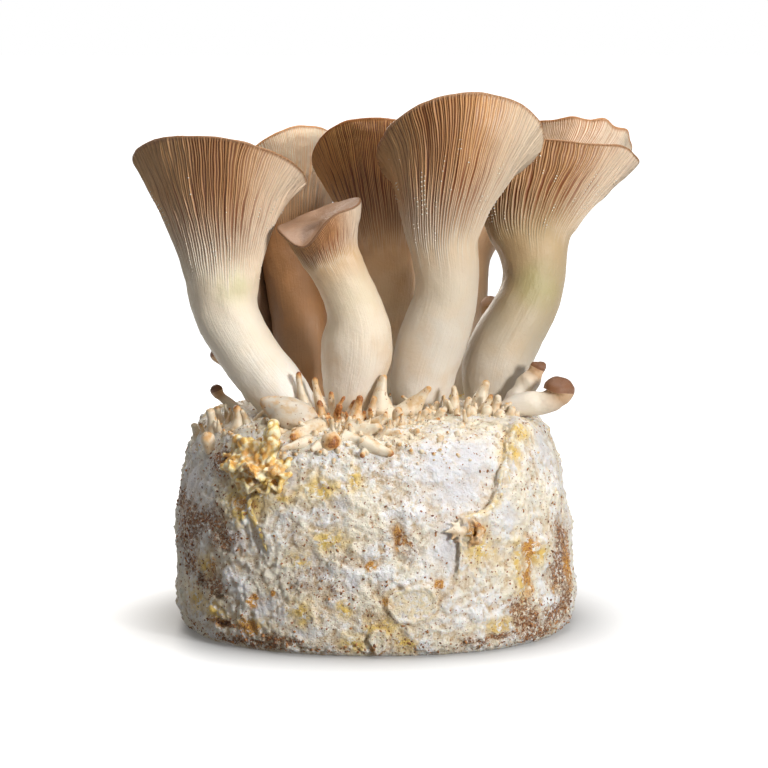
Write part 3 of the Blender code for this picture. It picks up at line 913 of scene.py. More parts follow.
# %% [markdown]
# ### Where things are on the skin
# A place on the skin is its bearing round the block in degrees, 0 in front and positive to
# the right, and its height. Torn edges are lines of such places. Stains, bald smooth
# patches and grainy patches are soft ovals: bearing, height and half sizes. Their outlines
# are warped by noise, so that none looks drawn.

# %% Maps of the skin
# Pins: foot x and y, lean of the tip in x and y, height, foot radius, tip radius
SPROUTS = [
    (-27, -42.5, -7, -1, 20, 3, 1.2), (-21, -40.5, -6, -1, 17, 3.2, 1.3),
    (-20, -43, 0, 0, 11, 2.6, 1), (-18, -46, 4, -2, 10, 2.2, 0.9), (-17, -48, 1, -4, 7, 3.2, 1.4),
    (-14, -47, 5, -1, 8, 2.6, 1.1), (-21.5, -58, 0, -4, 4, 4, 3.8), (-23, -50, -2, 0, 9, 2.6, 1.2),
    (-19, -72, 0, -6, -1.5, 5, 5.2), (-10, -51, 3, -2, 11, 4.4, 1.5), (-9, -64, 11, -8, 1.8, 6.2, 1.8),
    (-13, -71, 7, -7, -2, 4.4, 1.6), (-4, -47, 3, -2, 10, 3, 1.3), (-5, -56, 9, -5, 5, 3.6, 1.2),
    (3.5, -36, 0, 0, 17, 6.4, 1.8), (10, -34, 13, -4, 12, 5.6, 1.4), (2, -66, 8, -7, 0, 3.4, 1),
    (9.5, -50, 0, -5, 6, 2.6, 2.5), (16, -46, 6, -3, 4, 3, 1.1), (-5, -74, 12, -7, -6, 4.4, 1.4),
    (-25, -62, -11, -10, -3, 6.4, 1.6), (-29, -70, -12, -7, -5, 3, 0.9), (-24, -73, -4, -5, -4, 2.8, 1.2),
    (-4, -77, -2, -5, -5, 2.6, 1.1), (7, -72, 3, -6, -3, 2.4, 1), (13, -64, 5, -6, 0, 2.6, 1),
    (33, -27, 1, -1, 12, 3.4, 1.3), (29, -29, 2, -1, 6, 2.4, 1.1), (36, -25, -2, -2, 8, 2.6, 1.1),
    (40, -21, 1, -1, 6, 2.4, 1.3), (45, -15, 4, 0, 13, 5, 1.8), (46, -21, 5, -3, 8, 3, 1.2),
    (51, -19, 3, -1, 8, 3, 1.4), (42, -28, 0, -3, 3, 3, 2.7), (48, -26, 1, -3, 4, 2.9, 2.6),
    (53, -30, 1, -3, 3, 2.8, 2.5), (58, -23, 2, -2, 4, 2.6, 1.6), (36, -33, -1, -3, 3, 2.2, 1.2),
    (-71, -38, -2, -2, 9, 3, 2.1), (-72, -45, -2, -3, 5, 3.8, 3.5), (-62, -45, 1, -1, 9, 2.9, 1.9),
    (-79, -23, -2, -1, 4, 2.2, 1.7), (-68, -30, -2, -1, 6, 2.2, 1.4), (-56, -44, -3, -3, 6, 2.4, 1.1),
    (56, -8, 7, 1, 6, 4, 2), (66, -12, 3, -2, 6, 3.4, 1.6), (60, -16, 2, -4, 5, 3, 1.5),
    (24, -24, 3, -3, 4, 2.4, 1.2), (-8, -42, -2, -2, 7, 2.2, 1.1), (-32, -62, -4, -5, 0, 2.6, 1.2),
    (-40, -62, -3, -4, 1, 2.4, 1.1), (20, -40, 3, -5, 3, 2.2, 1.1), (27, -36, 2, -4, 3, 2.6, 1.6),
]
SKIN_RADIUS = 88
TORN_EDGE = [(51, 97), (45.3, 91.3), (42.9, 82.6), (39.5, 76.3), (38.2, 71.4), (35.6, 64.9),
             (32.7, 61.5), (28.9, 59.8), (25, 58.5), (23.6, 54.4), (24.2, 50.1), (24, 43.2),
             (23.1, 36.4), (21.2, 29.7), (18.9, 23.9)]
LOOSE_FLAP = [(-31.1, 69.4), (-35.4, 64.7), (-33.6, 58.1), (-30.8, 50.8), (-29.5, 44.2)]
FLAKES = [
    [(2.8, 22.3), (3.8, 27), (7.1, 29.5), (12, 31.6), (15.3, 31.4), (17.3, 26.1), (16.6, 19.7),
     (13.5, 16.5), (9.9, 14.4), (6.2, 15.4), (4.1, 18.8)],
    [(-2.1, 7.9), (-0.9, 12.4), (2.3, 13.3), (3.9, 9.7), (2.7, 4.3), (-0.1, 2)],
]
HOLES = [(24.6, 51.8, 3.2, 3.2), (-54, 28, 2.2, 3), (-46, 22.5, 2.6, 1.2), (-45, 11, 3, 1.6)]
YELLOW = [(-37, 66, 9, 7), (-38, 59, 5, 5), (-25, 68, 3, 3), (-14, 72, 7, 5), (-5, 76, 3, 4),
          (-12, 51, 5, 5), (-53, 34, 4, 5), (-57, 18, 5, 6), (-48, 16, 5, 5), (-35, 12, 5, 5),
          (-20, 19, 4, 5), (1, 13, 6, 5), (10, 23, 7, 6), (42, 39, 2, 9), (43, 28, 2, 9),
          (30, 45, 5, 6), (52, 93, 5, 5), (45, 84, 3, 5), (29, 52, 3, 4), (-6, 6, 4, 4),
          (8, 6, 4, 4), (-20, 42, 3, 3), (-8, 21, 3, 5), (50, 40, 6, 5), (35, 11, 5, 4)]
ORANGE = [(-34, 80, 7, 4), (-30, 75, 3, 3), (18, 32, 1, 2), (-34, 23, 2, 3), (-28, 26, 1, 2),
          (-36, 10, 4, 4), (0, 40, 2, 2), (46, 32, 2, 9), (47, 44, 3, 5), (58, 23, 2, 2),
          (70, 32, 4, 14), (-49, 35, 2, 4), (-59, 34, 2, 2), (29, 54, 2.5, 3), (4, 24, 2, 3),
          (-46, 11, 4, 2), (-38, 64, 4, 3), (8, 51, 2, 6), (0, 3, 2, 2)]
BROWN = [(-64, 49, 8, 14), (-74, 58, 9, 6), (-57, 53, 8, 6), (-61, 34, 6, 5), (-49, 55, 6, 5),
         (-44, 47, 6, 5), (-48, 27, 5, 5), (-49, 80, 6, 6), (-54, 28, 3, 3), (-46, 23, 3, 1),
         (-45, 11, 4, 2), (-42, 4, 7, 2), (-33, 3, 7, 2), (-15, 38, 4, 5), (-20, 31, 5, 4),
         (-8, 42, 5, 5), (0, 17, 5, 5), (2, 30, 2, 4), (8, 52, 4, 7), (10, 46, 4, 5),
         (66, 42, 7, 10), (61, 30, 6, 11), (66, 15, 6, 11), (42, 18, 5, 6), (45, 12, 6, 5),
         (57, 11, 6, 5), (18, 25, 2, 3), (-12, 29, 4, 5), (-25, 6, 8, 2), (32, 6, 10, 2),
         (50, 5, 10, 4)]
SMOOTH = [(31, 85, 9, 15), (20, 84, 8, 12), (26, 70, 9, 9), (21, 47, 4.5, 13), (67, 84, 8, 9),
          (40, 57, 3, 5), (-24, 75, 3, 3), (-9, 66, 3, 3), (-17, 42, 2, 3), (36, 44, 2, 3),
          (-6, 32, 2, 4), (-31, 21, 3, 4), (-49, 55, 3, 3), (-21, 11, 4, 2), (-66, 69, 9, 10)]


def skin_places(where):
    """Bearing in millimetres round the skin, and height, which goes on inwards over the top."""
    x, y, z = where.T
    bearing = np.arctan2(x - block_shift(z), -y)
    reach = block_reach(x - block_shift(z), y)
    return np.stack([bearing * SKIN_RADIUS, z + np.maximum(0, 80 - reach) * (z > 60)], 1)


def on_skin(place):
    return np.array([math.radians(place[0]) * SKIN_RADIUS, place[1]])


def line_distance(skin, line):
    """Distance to a line of places, positive on the right of it as it runs down."""
    best = np.full(len(skin), 1e9)
    sign = np.ones(len(skin))
    for first, second in zip(line, line[1:]):
        start, end = on_skin(first), on_skin(second)
        along = end - start
        off = skin - start
        share = np.clip(off @ along / (along @ along), 0, 1)
        distance = np.linalg.norm(off - share[:, None] * along, axis=1)
        cross = along[0] * off[:, 1] - along[1] * off[:, 0]
        closer = distance < best
        best = np.where(closer, distance, best)
        sign = np.where(closer, np.sign(cross), sign)
    return best * sign


def oval_map(skin, ovals):
    """1 in the middle of the nearest oval, fading to 0 outside it."""
    found = np.zeros(len(skin))
    for bearing, height, wide, high in ovals:
        middle = on_skin((bearing, height))
        half = np.array([math.radians(wide) * SKIN_RADIUS, high])
        found = np.maximum(found, np.exp(-(((skin - middle) / half) ** 2).sum(1)))
    return found


# %% [markdown]
# ### Relief
# Each layer of relief answers to something on the real skin: the swells of the pressed
# block, the lumps of the growth, threads that stand up as sharp little ridges, beads, and
# grain. The torn edge on the right and the loose flap on the left are a second layer of
# skin, 1 to 3 mm thick, so the skin steps up there with a lip, which leans over where the
# layer is thickest. What each vertex is like is kept as marks for the colours.

# %% Pushing out the relief
def step_up(distance, thickness, fade):
    """A torn layer: up across its edge, with a rolled lip, then easing back to the skin."""
    rise = smooth_step(-0.3, 0.6, distance) * thickness * hill(np.maximum(distance, 0), 0, fade)
    return rise + 0.45 * thickness * hill(distance, 1.4, 1.2)


def wobble(where, size, *seeds):
    """Noise of that size for each place, with one column for each seed."""
    return np.stack([lumps(where, size, seed) for seed in seeds], 1)


where = places(block)
where[where[:, 2] < 0.9, 2] = 0
outward = normals(block)
under = smooth_step(0.2, 3, where[:, 2])
skin = skin_places(where)
height = skin[:, 1]
wavy = wobble(where, 5, 3.1, 7.7) * 2.6
warped = skin + wavy + wobble(where, 1.8, 1.2, 4.5) * 0.9
front = smooth_step(10, -20, where[:, 1])
behind = 1 - front
smooth = oval_map(warped, SMOOTH) * front
brown_share = 0.45 + 0.55 * np.maximum(smooth_step(44, 62, np.abs(skin[:, 0])),
                                       smooth_step(14, 5, height))
brown_behind = smooth_step(0.1, 0.6, lumps(where, 26, 5.5) + 0.5 - where[:, 2] / 90)
brown = np.maximum(oval_map(warped, BROWN) * front * brown_share, behind * brown_behind)
yellow = np.maximum(oval_map(warped, YELLOW) * front,
                    behind * smooth_step(0.15, 0.5, lumps(where, 19, 8.2)))
orange = np.maximum(oval_map(warped, ORANGE) * front,
                    behind * smooth_step(0.3, 0.6, lumps(where, 11, 2.9))
                    * smooth_step(-0.1, 0.4, lumps(where, 3.5, 6.6)))
flake_edges = [-line_distance(skin + wavy * 0.25, [*flake, flake[0]]) for flake in FLAKES]
flaked = np.maximum(*(smooth_step(-0.2, 0.8, edge) for edge in flake_edges)) * front
calm = (1 - 0.7 * smooth) * (1 - 0.75 * flaked)
relief = lumps(where, 18) * 1.3
relief += lumps(where, 8, 2.2) * 0.6
bent = where + wobble(where, 4, 0.7, 5.3, 8.4) * 1.5


def curds(size):
    """Rounded granules with creases between them."""
    near = np.array([noise.voronoi(Vector(place) / size)[0][0] for place in bent])
    return np.clip(1 - (near / 0.72) ** 2, 0, 1)


curdy = smooth_step(-0.25, 0.35, lumps(where, 15, 6.4))
threads = np.clip(1 - np.abs(lumps(bent, 7, 3.3)) * 7, 0, 1) ** 2
small_relief = (curds(4.6) * (0.5 + 0.7 * curdy) + curds(2.4) * (0.3 + 0.45 * curdy)
                + np.abs(lumps(where, 6, 9.1)) * 1.2 + lumps(where, 1.6, 3.9) * 0.45 + threads * 0.7) * calm
relief += small_relief - small_relief.mean()
relief -= brown * 0.35
sunken = smooth_step(0.05, -0.6, small_relief - small_relief.mean())
frayed = wavy * 0.35 + wobble(where, 2.2, 1.9, 6.1) * 0.9
torn = line_distance(skin + frayed, TORN_EDGE)
flap = line_distance(skin + frayed, LOOSE_FLAP)
torn_span = smooth_step(14, 30, height) * front
flap_span = smooth_step(40, 50, height) * smooth_step(74, 66, height) * front
high_part = smooth_step(46, 58, height)
relief += step_up(torn, 1.2 + 1.8 * high_part, 22) * torn_span
relief += step_up(flap, 1.1, 9) * flap_span
for edge in flake_edges:
    relief += smooth_step(-0.4, 0.6, edge) * (1.7 + hill(edge, 1, 1)) * front
for *middle, wide, high in HOLES:
    off = skin + wavy * 0.2 - on_skin(middle)
    far = np.hypot(off[:, 0] / wide, off[:, 1] / high)
    spiky = 1 + 0.25 * np.cos(5 * np.arctan2(off[:, 1], off[:, 0]))
    relief -= 2.6 * smooth_step(1.15, 0.55, far / spiky) * front
    relief += 0.9 * hill(far / spiky, 1.35, 0.25) * front
for x, y, _, _, _, foot_radius, _ in SPROUTS:
    share = hill(np.hypot(where[:, 0] - x, where[:, 1] - y), 0, foot_radius + 1)
    relief = relief * (1 - share) + 0.2 * share * (where[:, 2] > 60)
where += outward * (relief * under)[:, None]
bearing = skin[:, 0] / SKIN_RADIUS
overhang = np.stack([-np.cos(bearing) * 0.9, -np.sin(bearing) * 0.9, np.full(len(where), 0.45)], 1)
where += overhang * (0.9 * hill(torn, 0.9, 0.9) * torn_span * high_part)[:, None]
where[:, 2] = np.maximum(where[:, 2], 0)
put(block, where)
# painted shade: crease marks the strip just outside each torn edge and flake, painted tan as its shadow
crease = np.maximum(hill(torn, -0.9, 0.8) * torn_span, hill(flap, -0.9, 0.8) * flap_span)
for edge in flake_edges:
    crease = np.maximum(crease, hill(edge, -0.9, 0.6) * front)
sunken = np.maximum(sunken * (1 - 0.85 * smooth) * (1 - 0.9 * flaked), crease)
lip = np.maximum(hill(torn, 1, 1.3) * torn_span, hill(flap, 1, 1.3) * flap_span)
yellow = np.maximum(yellow * (1 - 0.8 * flaked), 0.35 * lip)
orange = orange * (1 - 0.6 * flaked)
cream = np.maximum(smooth_step(90, 99, height) * 0.6, smooth_step(-1, 4, torn) * torn_span * 0.2)
cream = np.maximum(cream, 0.9 * flaked)
for name, value in {"smooth": smooth, "brown": brown, "yellow": yellow, "orange": orange,
                    "cream": cream, "sunken": sunken}.items():
    mark(block, name, value)
pick(block)
bpy.ops.object.shade_smooth()
print("skin relief", round(float(relief.min()), 2), "to", round(float(relief.max()), 2), "mm")

# %% [markdown]
# The skin's colours lie in the same maps: bluish white where it is bald and smooth, cream
# near the mushrooms, yellow and orange where drops of sap dried, brown where the sawdust
# shows through, and a painted shade of tan in the crevices and just outside each torn edge
# and flake. The brown specks are dots in a pattern of random cells, in three sizes, and
# more of the cells keep their dot where the skin is brown.

# %% Mycelium finish
def mycelium():
    made, tree, shader = finish_material("mycelium_skin", 0.45, 0.15)
    spot = add_node(tree, "TexCoord").outputs["Object"]
    smooth_map, brown_map, yellow_map, orange_map, cream_map, sunken_map = (
        reading(tree, name) for name in ("smooth", "brown", "yellow", "orange", "cream", "sunken"))
    patches = mottle(tree, spot, 14, 4.0)
    broken = mottle(tree, spot, 3.2, 5.0, 0.7, 0.6)
    grain = mottle(tree, spot, 1.5, 5.0, 0.62)
    fine = mottle(tree, spot, 0.6, 3.0)
    white = mixed(tree, between(tree, patches, 0.42, 0.58), colour(245, 244, 243), colour(244, 236, 218))
    bald = mixed(tree, smooth_map, white, colour(226, 227, 233))
    stained = mixed(tree, between(tree, broken, 0.55, 0.65, 0.0, 0.6), bald, colour(224, 196, 142))
    calm_stain = mixed(tree, scaled(tree, smooth_map, 0.9), stained, bald)
    # painted shade: the crevices and the creases by the torn edges are painted tan
    hollow = scaled(tree, sunken_map, between(tree, broken, 0.6, 0.42, 0.25, 0.95))
    crevice_shaded = mixed(tree, hollow, calm_stain, colour(204, 176, 136))
    creamy = mixed(tree, scaled(tree, cream_map, between(tree, broken, 0.35, 0.6)),
                   crevice_shaded, colour(238, 224, 194))
    yellowed = mixed(tree, scaled(tree, yellow_map, between(tree, broken, 0.4, 0.52)),
                     creamy, colour(232, 196, 96))
    amber = mixed(tree, between(tree, fine, 0.4, 0.6), colour(172, 110, 46), colour(222, 168, 76))
    orange_stain = scaled(tree, between(tree, orange_map, 0.1, 0.6),
                          between(tree, broken, 0.42, 0.5))
    oranged = mixed(tree, reckon(tree, "MAXIMUM", orange_stain, between(tree, orange_map, 0.8, 0.95)),
                    yellowed, amber)
    wood = mixed(tree, between(tree, fine, 0.35, 0.65), colour(78, 46, 26), colour(176, 128, 84))
    bare = scaled(tree, between(tree, brown_map, 0.05, 0.8), between(tree, grain, 0.62, 0.46))
    shaded = mixed(tree, bare, oranged, wood)
    jitter = add_node(tree, "TexNoise", {"Vector": spot, "Scale": 1 / (1.1 * MM), "Detail": 1.0})
    bent = add_node(tree, "VectorMath", {0: jitter.outputs["Color"], "Scale": 1.3 * MM},
                    operation="SCALE")
    spread = add_node(tree, "VectorMath", {0: spot, 1: bent.outputs[0]}, operation="ADD").outputs[0]
    busy = reckon(tree, "ADD", scaled(tree, brown_map, 0.35),
                  between(tree, patches, 0.35, 0.7, -0.05, 0.22))
    calmer = reckon(tree, "SUBTRACT", busy, scaled(tree, smooth_map, 0.22))
    specked, dots = shaded, None
    for size, radius, least in ((1.3, 0.22, 0.6), (2.2, 0.18, 0.68), (4.2, 0.13, 0.64)):
        cells = add_node(tree, "TexVoronoi", {"Vector": spread, "Scale": 1 / (size * MM)})
        dot = between(tree, cells.outputs["Distance"], radius * 0.65, radius * 1.2, 1.0, 0.0)
        chance = add_node(tree, "SeparateColor", {0: cells.outputs["Color"]}).outputs[0]
        kept = between(tree, reckon(tree, "ADD", chance, calmer), least, least + 0.04)
        rust = mixed(tree, chance, colour(112, 62, 34), colour(168, 104, 60))
        grit = scaled(tree, dot, kept)
        specked = mixed(tree, grit, specked, rust)
        dots = raised(tree, grit, 0.3, 0.8, under=dots)
    feed(tree, shader.inputs["Base Color"], specked)
    crinkled = raised(tree, broken, 1.5, 0.6, under=dots)
    soft = raised(tree, grain, 1.2, 0.9, under=crinkled)
    feed(tree, shader.inputs["Normal"], raised(tree, fine, 0.35, 0.7, under=soft))
    return made


skin_finish = mycelium()
block.data.materials.append(skin_finish)
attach(block, "root")
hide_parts("substrate_block")

# %% [markdown]
# ## Pins
# Pins are mushrooms that stopped growing: fat little horns and balls, cream, with dried
# orange-brown tips. Each is grown like a stem, from a ring of a few vertices. They are
# joined into one piece, because they are fused with the skin that they grow from. How
# far a pin has dried is a mark of its own, its **toast**. The large ones stand where the
# photograph shows them, and thin ones are drawn at random round them.

# %% Growing tubes and pins
PIN_SIDES = 10
PIN_DEPTH = 3
dice = random.Random(11)


def grow_tube(name, stations, sides=PIN_SIDES, smoothing=2):
    """A closed tube through stations of place and radius, smoothed that many times."""
    path = [Vector(station) for station in stations]
    piece, ring = start_ring(name, path[0].xyz, direction_at(path, 0), path[0].w, 0.0, sides)
    for index, station in enumerate(path[1:], 1):
        ring = next_ring(piece, ring, station.xyz, direction_at(path, index), station.w, station.w,
                         index / (len(path) - 1))
    close_end(path[-1].xyz + direction_at(path, len(path) - 1) * path[-1].w * 0.6, ring)
    if smoothing:
        apply(piece, "SUBSURF", levels=smoothing, render_levels=smoothing)
    close_foot(piece)
    return piece


def grow_pin(name, foot, tip, foot_radius, tip_radius, arch=1.0, smoothing=2):
    """One pin from foot to tip: a horn, or a ball where the tip is nearly as wide."""
    foot, tip = Vector(foot), Vector(tip)
    bend = (tip - foot).length * 0.22
    middle = (foot + tip) / 2 + Vector((dice.uniform(-bend, bend), dice.uniform(-bend, bend), arch))
    if tip_radius > 0.8 * foot_radius:
        profile = ((0.0, 0.85), (0.3, 0.8), (0.6, 1.0), (0.86, 0.9), (1.0, 0.5))
    else:
        slim = tip_radius / foot_radius
        profile = ((0.0, 1.25), (0.24, 1.0), (0.5, 0.5 + 0.5 * slim), (0.78, 0.1 + 0.85 * slim),
                   (0.94, 1.15 * slim), (1.0, 0.8 * slim))
    stations = []
    for share, fat in profile:
        place = foot * (1 - share) ** 2 + middle * 2 * share * (1 - share) + tip * share ** 2
        stations.append((*place, foot_radius * fat))
    return grow_tube(name, stations, smoothing=smoothing)


def join(pieces, name):
    deselect()
    for piece in pieces:
        piece.select_set(True)
    bpy.context.view_layer.objects.active = pieces[0]
    bpy.ops.object.join()
    joined = bpy.context.object
    joined.name = joined.data.name = name
    return joined


def finish_growth(piece, finish, slot, *nodes):
    """The steps that every piece grown on the block ends with."""
    pick(piece)
    bpy.ops.object.shade_smooth()
    piece.data.materials.append(finish)
    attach(piece, "root")
    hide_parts(*nodes)
    print(piece.name, triangles(piece), "triangles")


# %% Planting the pins
THICK_PIN = 3.4                 # a pin with a thicker foot is smoothed twice, the others once
# Patches of thin pins: middle x and y, spread, and how many
PIN_PATCHES = [(-17, -52, 11, 34), (-14, -66, 9, 16), (5, -50, 9, 12), (38, -24, 12, 22),
               (-66, -36, 9, 14), (58, -14, 8, 10)]
# partly painted shade: the cluster's tips are browned more, partly for their dried tips and partly for the
# shade among them
CLUSTER = (-17, -49, 9, 8)      # middle and half sizes of the cluster whose tips are burnt most
pins = []
thin_pins = []
for x, y, spread, count in PIN_PATCHES:
    for _ in range(count):
        off_x, off_y = dice.gauss(0, spread * 0.6), dice.gauss(0, spread * 0.5)
        lean_x, lean_y = off_x * 0.35 + dice.uniform(-2, 2), off_y * 0.3 + dice.uniform(-3, 1)
        thin_pins.append((x + off_x, min(y + off_y, -8), lean_x, lean_y,
                          dice.uniform(1, 6), dice.uniform(1.2, 2.1), dice.uniform(0.5, 0.9)))
for x, y, lean_x, lean_y, height, foot_radius, tip_radius in SPROUTS + thin_pins:
    floor = top_height(x, y)
    pin = grow_pin("pin", (x, y, floor - PIN_DEPTH), (x + lean_x, y + lean_y, floor + height),
                   foot_radius, tip_radius, 0.12 * abs(lean_x + lean_y),
                   smoothing=2 if foot_radius > THICK_PIN else 1)
    off_x, off_y = (x - CLUSTER[0]) / CLUSTER[2], (y - CLUSTER[1]) / CLUSTER[3]
    burnt = math.exp(-(off_x ** 2 + off_y ** 2)) - 0.35 * (x > 20)
    mark(pin, "toast", np.full(len(pin.data.vertices), dice.uniform(-0.2, 0.08) + 0.48 * burnt))
    pins.append(pin)
pins = join(pins, "pins")
where = places(pins)
swell(pins, lumps(where, 4, 4.2) * 0.5 + lumps(where, 1.4, 8.8) * 0.12)

# %% Pin finish
def pin_flesh(name, fair=(226, 213, 190), tan=(210, 178, 134)):
    made, tree, shader = finish_material(name, 0.46, 0.12)
    spot = add_node(tree, "TexCoord").outputs["Object"]
    along, toast = reading(tree, "along"), reading(tree, "toast")
    clouds = mottle(tree, spot, 4.5)
    grain = mottle(tree, spot, 0.9, 3.0)
    pale = mixed(tree, between(tree, clouds, 0.42, 0.7), colour(*fair), colour(*tan))
    burnt = mixed(tree, between(tree, grain, 0.35, 0.65), colour(132, 78, 36), colour(184, 120, 58))
    dried = reckon(tree, "ADD", reckon(tree, "ADD", along, toast),
                   between(tree, clouds, 0.3, 0.7, -0.14, 0.14))
    tanned = mixed(tree, between(tree, dried, 0.6, 1.0), pale, colour(206, 158, 96))
    tipped = mixed(tree, between(tree, dried, 0.92, 1.08), tanned, burnt)
    spots = between(tree, mottle(tree, spot, 1.7, 2.0), 0.66, 0.71)
    feed(tree, shader.inputs["Base Color"], mixed(tree, spots, tipped, colour(132, 84, 50)))
    feed(tree, shader.inputs["Normal"], raised(tree, grain, 0.25, 0.5))
    return made


pin_finish = pin_flesh("pin_flesh")
finish_growth(pins, pin_finish, "mycelium_block", "substrate_block")

# %% [markdown]
# The fat bud in front of the left stem is a mushroom that never opened. It lies on its
# side, so its stations run from right to left.

# %% The fat bud
BUD = [(-30.5, -54, 92, 6), (-31.5, -54, 95, 8), (-34.5, -54, 98, 8.8), (-40, -54, 101, 7.8),
       (-45, -54, 104, 5.2), (-49.5, -54, 106.5, 2.4)]
bud = grow_tube("fat_bud", BUD, CAGE_SIDES)
where = places(bud)
swell(bud, lumps(where, 7, 1.4) * 0.8 + lumps(where, 1.6, 3.3) * 0.12)
mark(bud, "toast", np.full(len(where), -0.14))
# painted shade: the bud is painted darker than the pins, to stand in for less light on it
bud_finish = pin_flesh("bud_flesh", fair=(204, 193, 176), tan=(196, 168, 132))
finish_growth(bud, bud_finish, "young_mushroom_flesh", "bud_front_left")

# %% [markdown]
# ## Crust
# On the left shoulder a crust of dried sap and stunted growth has set in curls: yellow
# at its foot, orange-brown above, with a knobbly finger and a frilled shelf. Displacing
# the block would only give it humps, so curls are grown as short bent tubes that lie on
# the skin, each from four stations and turned at random. The shelf is made of strips: a
# grid is bent along its path, ruffled at its free edge, and thickened by Solidify. Voxel
# remesh then fuses them all, and folds are pushed into the one skin that results.

# %% Places on the smooth block
def skin_point(bearing, height, lift=0.0):
    """The place at that bearing and height, that far off the smooth block."""
    rising = BLOCK_OUTLINE[:-2]
    half = float(np.interp(height, [low for _, low in rising], [half for half, _ in rising])) + lift
    turn = math.radians(bearing)
    x, y = math.sin(turn), -math.cos(turn)
    share = half / float(block_reach(x, y))
    return Vector((x * share + float(block_shift(height)), y * share, height))


def strip(name, path, width, turn, ruffle, thickness, seed):
    """A ruffled strip whose root follows the path. turn 0 stands straight off the block,
    90 lies along it, towards the left of a path that runs down."""
    count = len(path) * 4
    line = [point.xyz for point in smooth_path([(*point, 0) for point in path], count)]
    deselect()
    bpy.ops.mesh.primitive_grid_add(x_subdivisions=count - 1, y_subdivisions=3, size=1)
    piece = bpy.context.object
    piece.name = piece.data.name = name
    shares = places(piece) * MM + 0.5
    lean = math.radians(turn)
    where = []
    for along, out, _ in shares:
        index = min(int(round(along * (count - 1))), count - 1)
        root = line[index]
        run = (line[min(index + 1, count - 1)] - line[max(index - 1, 0)]).normalized()
        off = Vector((root.x, root.y, 0)).normalized()
        side = run.cross(off).normalized()
        reach = off * math.cos(lean) + side * math.sin(lean)
        ripple = rough(index * 0.55, seed, 0) * ruffle * 2
        fringe = width * (1 + 0.6 * rough(index * 0.4, seed, 7))
        taper = min(1, along * 6, (1 - along) * 6)
        where.append(root + reach * (fringe * out * taper - 1.2)
                     + (side * math.cos(lean) - off * math.sin(lean)) * ripple * out ** 1.5)
    put(piece, np.array([tuple(place) for place in where]))
    mark(piece, "along", shares[:, 1])
    apply(piece, "SOLIDIFY", thickness=thickness * MM, offset=0)
    apply(piece, "SUBSURF", levels=1, render_levels=1)
    pick(piece)
    bpy.ops.object.mode_set(mode="EDIT")
    bpy.ops.mesh.select_all(action="SELECT")
    bpy.ops.mesh.normals_make_consistent(inside=False)
    bpy.ops.object.mode_set(mode="OBJECT")
    return piece


# %% [markdown]
# Large and small curls share the same patches, so that fine ones fill in between the
# coarse. Four strips of the shelf lie over each other at different leans.

# %% Curls, the finger and the shelf
# Patches of curls: bearing, height, spread of both, number and radius
CURLS = [(-39, 84, 5, 3, 9, 3.2), (-35, 80, 5, 3, 9, 2.8), (-38, 72, 4, 4, 7, 2.4),
         (-40, 86, 6, 3, 10, 1.7), (-35, 79, 7, 4, 12, 1.5), (-38, 72, 5, 4, 10, 1.3),
         (-31, 79, 4, 3, 7, 1.5), (-46, 82, 3, 4, 6, 1.5)]
FINGER = [(-47, -68, 80, 4.4), (-46.5, -69.5, 86, 4.6), (-45, -69.5, 91, 3.9),
          (-44.5, -68, 95.5, 3.8), (-44, -67, 99, 2.6)]
SHELF = [(-44, 80), (-40, 81), (-35, 79.5), (-31, 78), (-27, 79.5), (-24, 81)]
# Strips of the shelf: width, lean, how far below the line, and seed
SHELF_STRIPS = [(9, 10, 0, 1.3), (8, -20, 3, 5.8), (8, 35, -3, 2.2), (6, 10, 7, 9.1)]
CURL_STEPS = [(-0.6, 0.9), (0.5, 1.1), (0.8, 1.0), (0.0, 0.6)]      # lift and fatness


def curl(bearing, height, radius, reach, turn):
    """A short bent tube that lies on the skin."""
    stations = []
    for step, (lift, fat) in enumerate(CURL_STEPS):
        way = turn + step * 0.7
        bearing += math.degrees(math.cos(way) * reach / SKIN_RADIUS)
        height = min(height + math.sin(way) * reach, 90)
        stations.append((*skin_point(bearing, height, lift * min(radius, 1.6)), radius * fat))
    return grow_tube("curl", stations, 6, 1)


crust = [grow_tube("finger", FINGER)]
for bearing, height, wide, high, count, radius in CURLS:
    for _ in range(count):
        crust.append(curl(bearing + dice.gauss(0, wide * 0.5), height + dice.gauss(0, high * 0.5),
                          radius * dice.uniform(0.7, 1.3), dice.uniform(1.4, 2.6),
                          dice.uniform(0, 6.28)))
for width, turn, drop, seed in SHELF_STRIPS:
    crust.append(strip("shelf", [skin_point(bearing, height - drop) for bearing, height in SHELF],
                       width, turn, 4.2, 1.5, seed))
crust = join(crust, "sap_crust")
apply(crust, "REMESH", mode="VOXEL", voxel_size=0.55 * MM)
apply(crust, "SMOOTH", factor=0.5, iterations=3)
where = places(crust)
folds = smooth_step(0, 0.5, np.abs(lumps(where, 4.5, 6.2))) * 0.6 - 0.25
swell(crust, folds * 1.4 + lumps(where, 1.8, 2.6) * 0.12)
mark(crust, "folds", folds)
off_finger = np.hypot(where[:, 0] + 47.5, where[:, 1] + 66)
on_finger = hill(off_finger, 0, 5) * smooth_step(84, 89, where[:, 2])
mark(crust, "toast", 0.25 + 0.4 * hill(where[:, 2], 79, 4.5) + 0.2 * smooth_step(76, 86, where[:, 2])
     - 0.5 * on_finger + lumps(where, 6, 4.4) * 0.35)

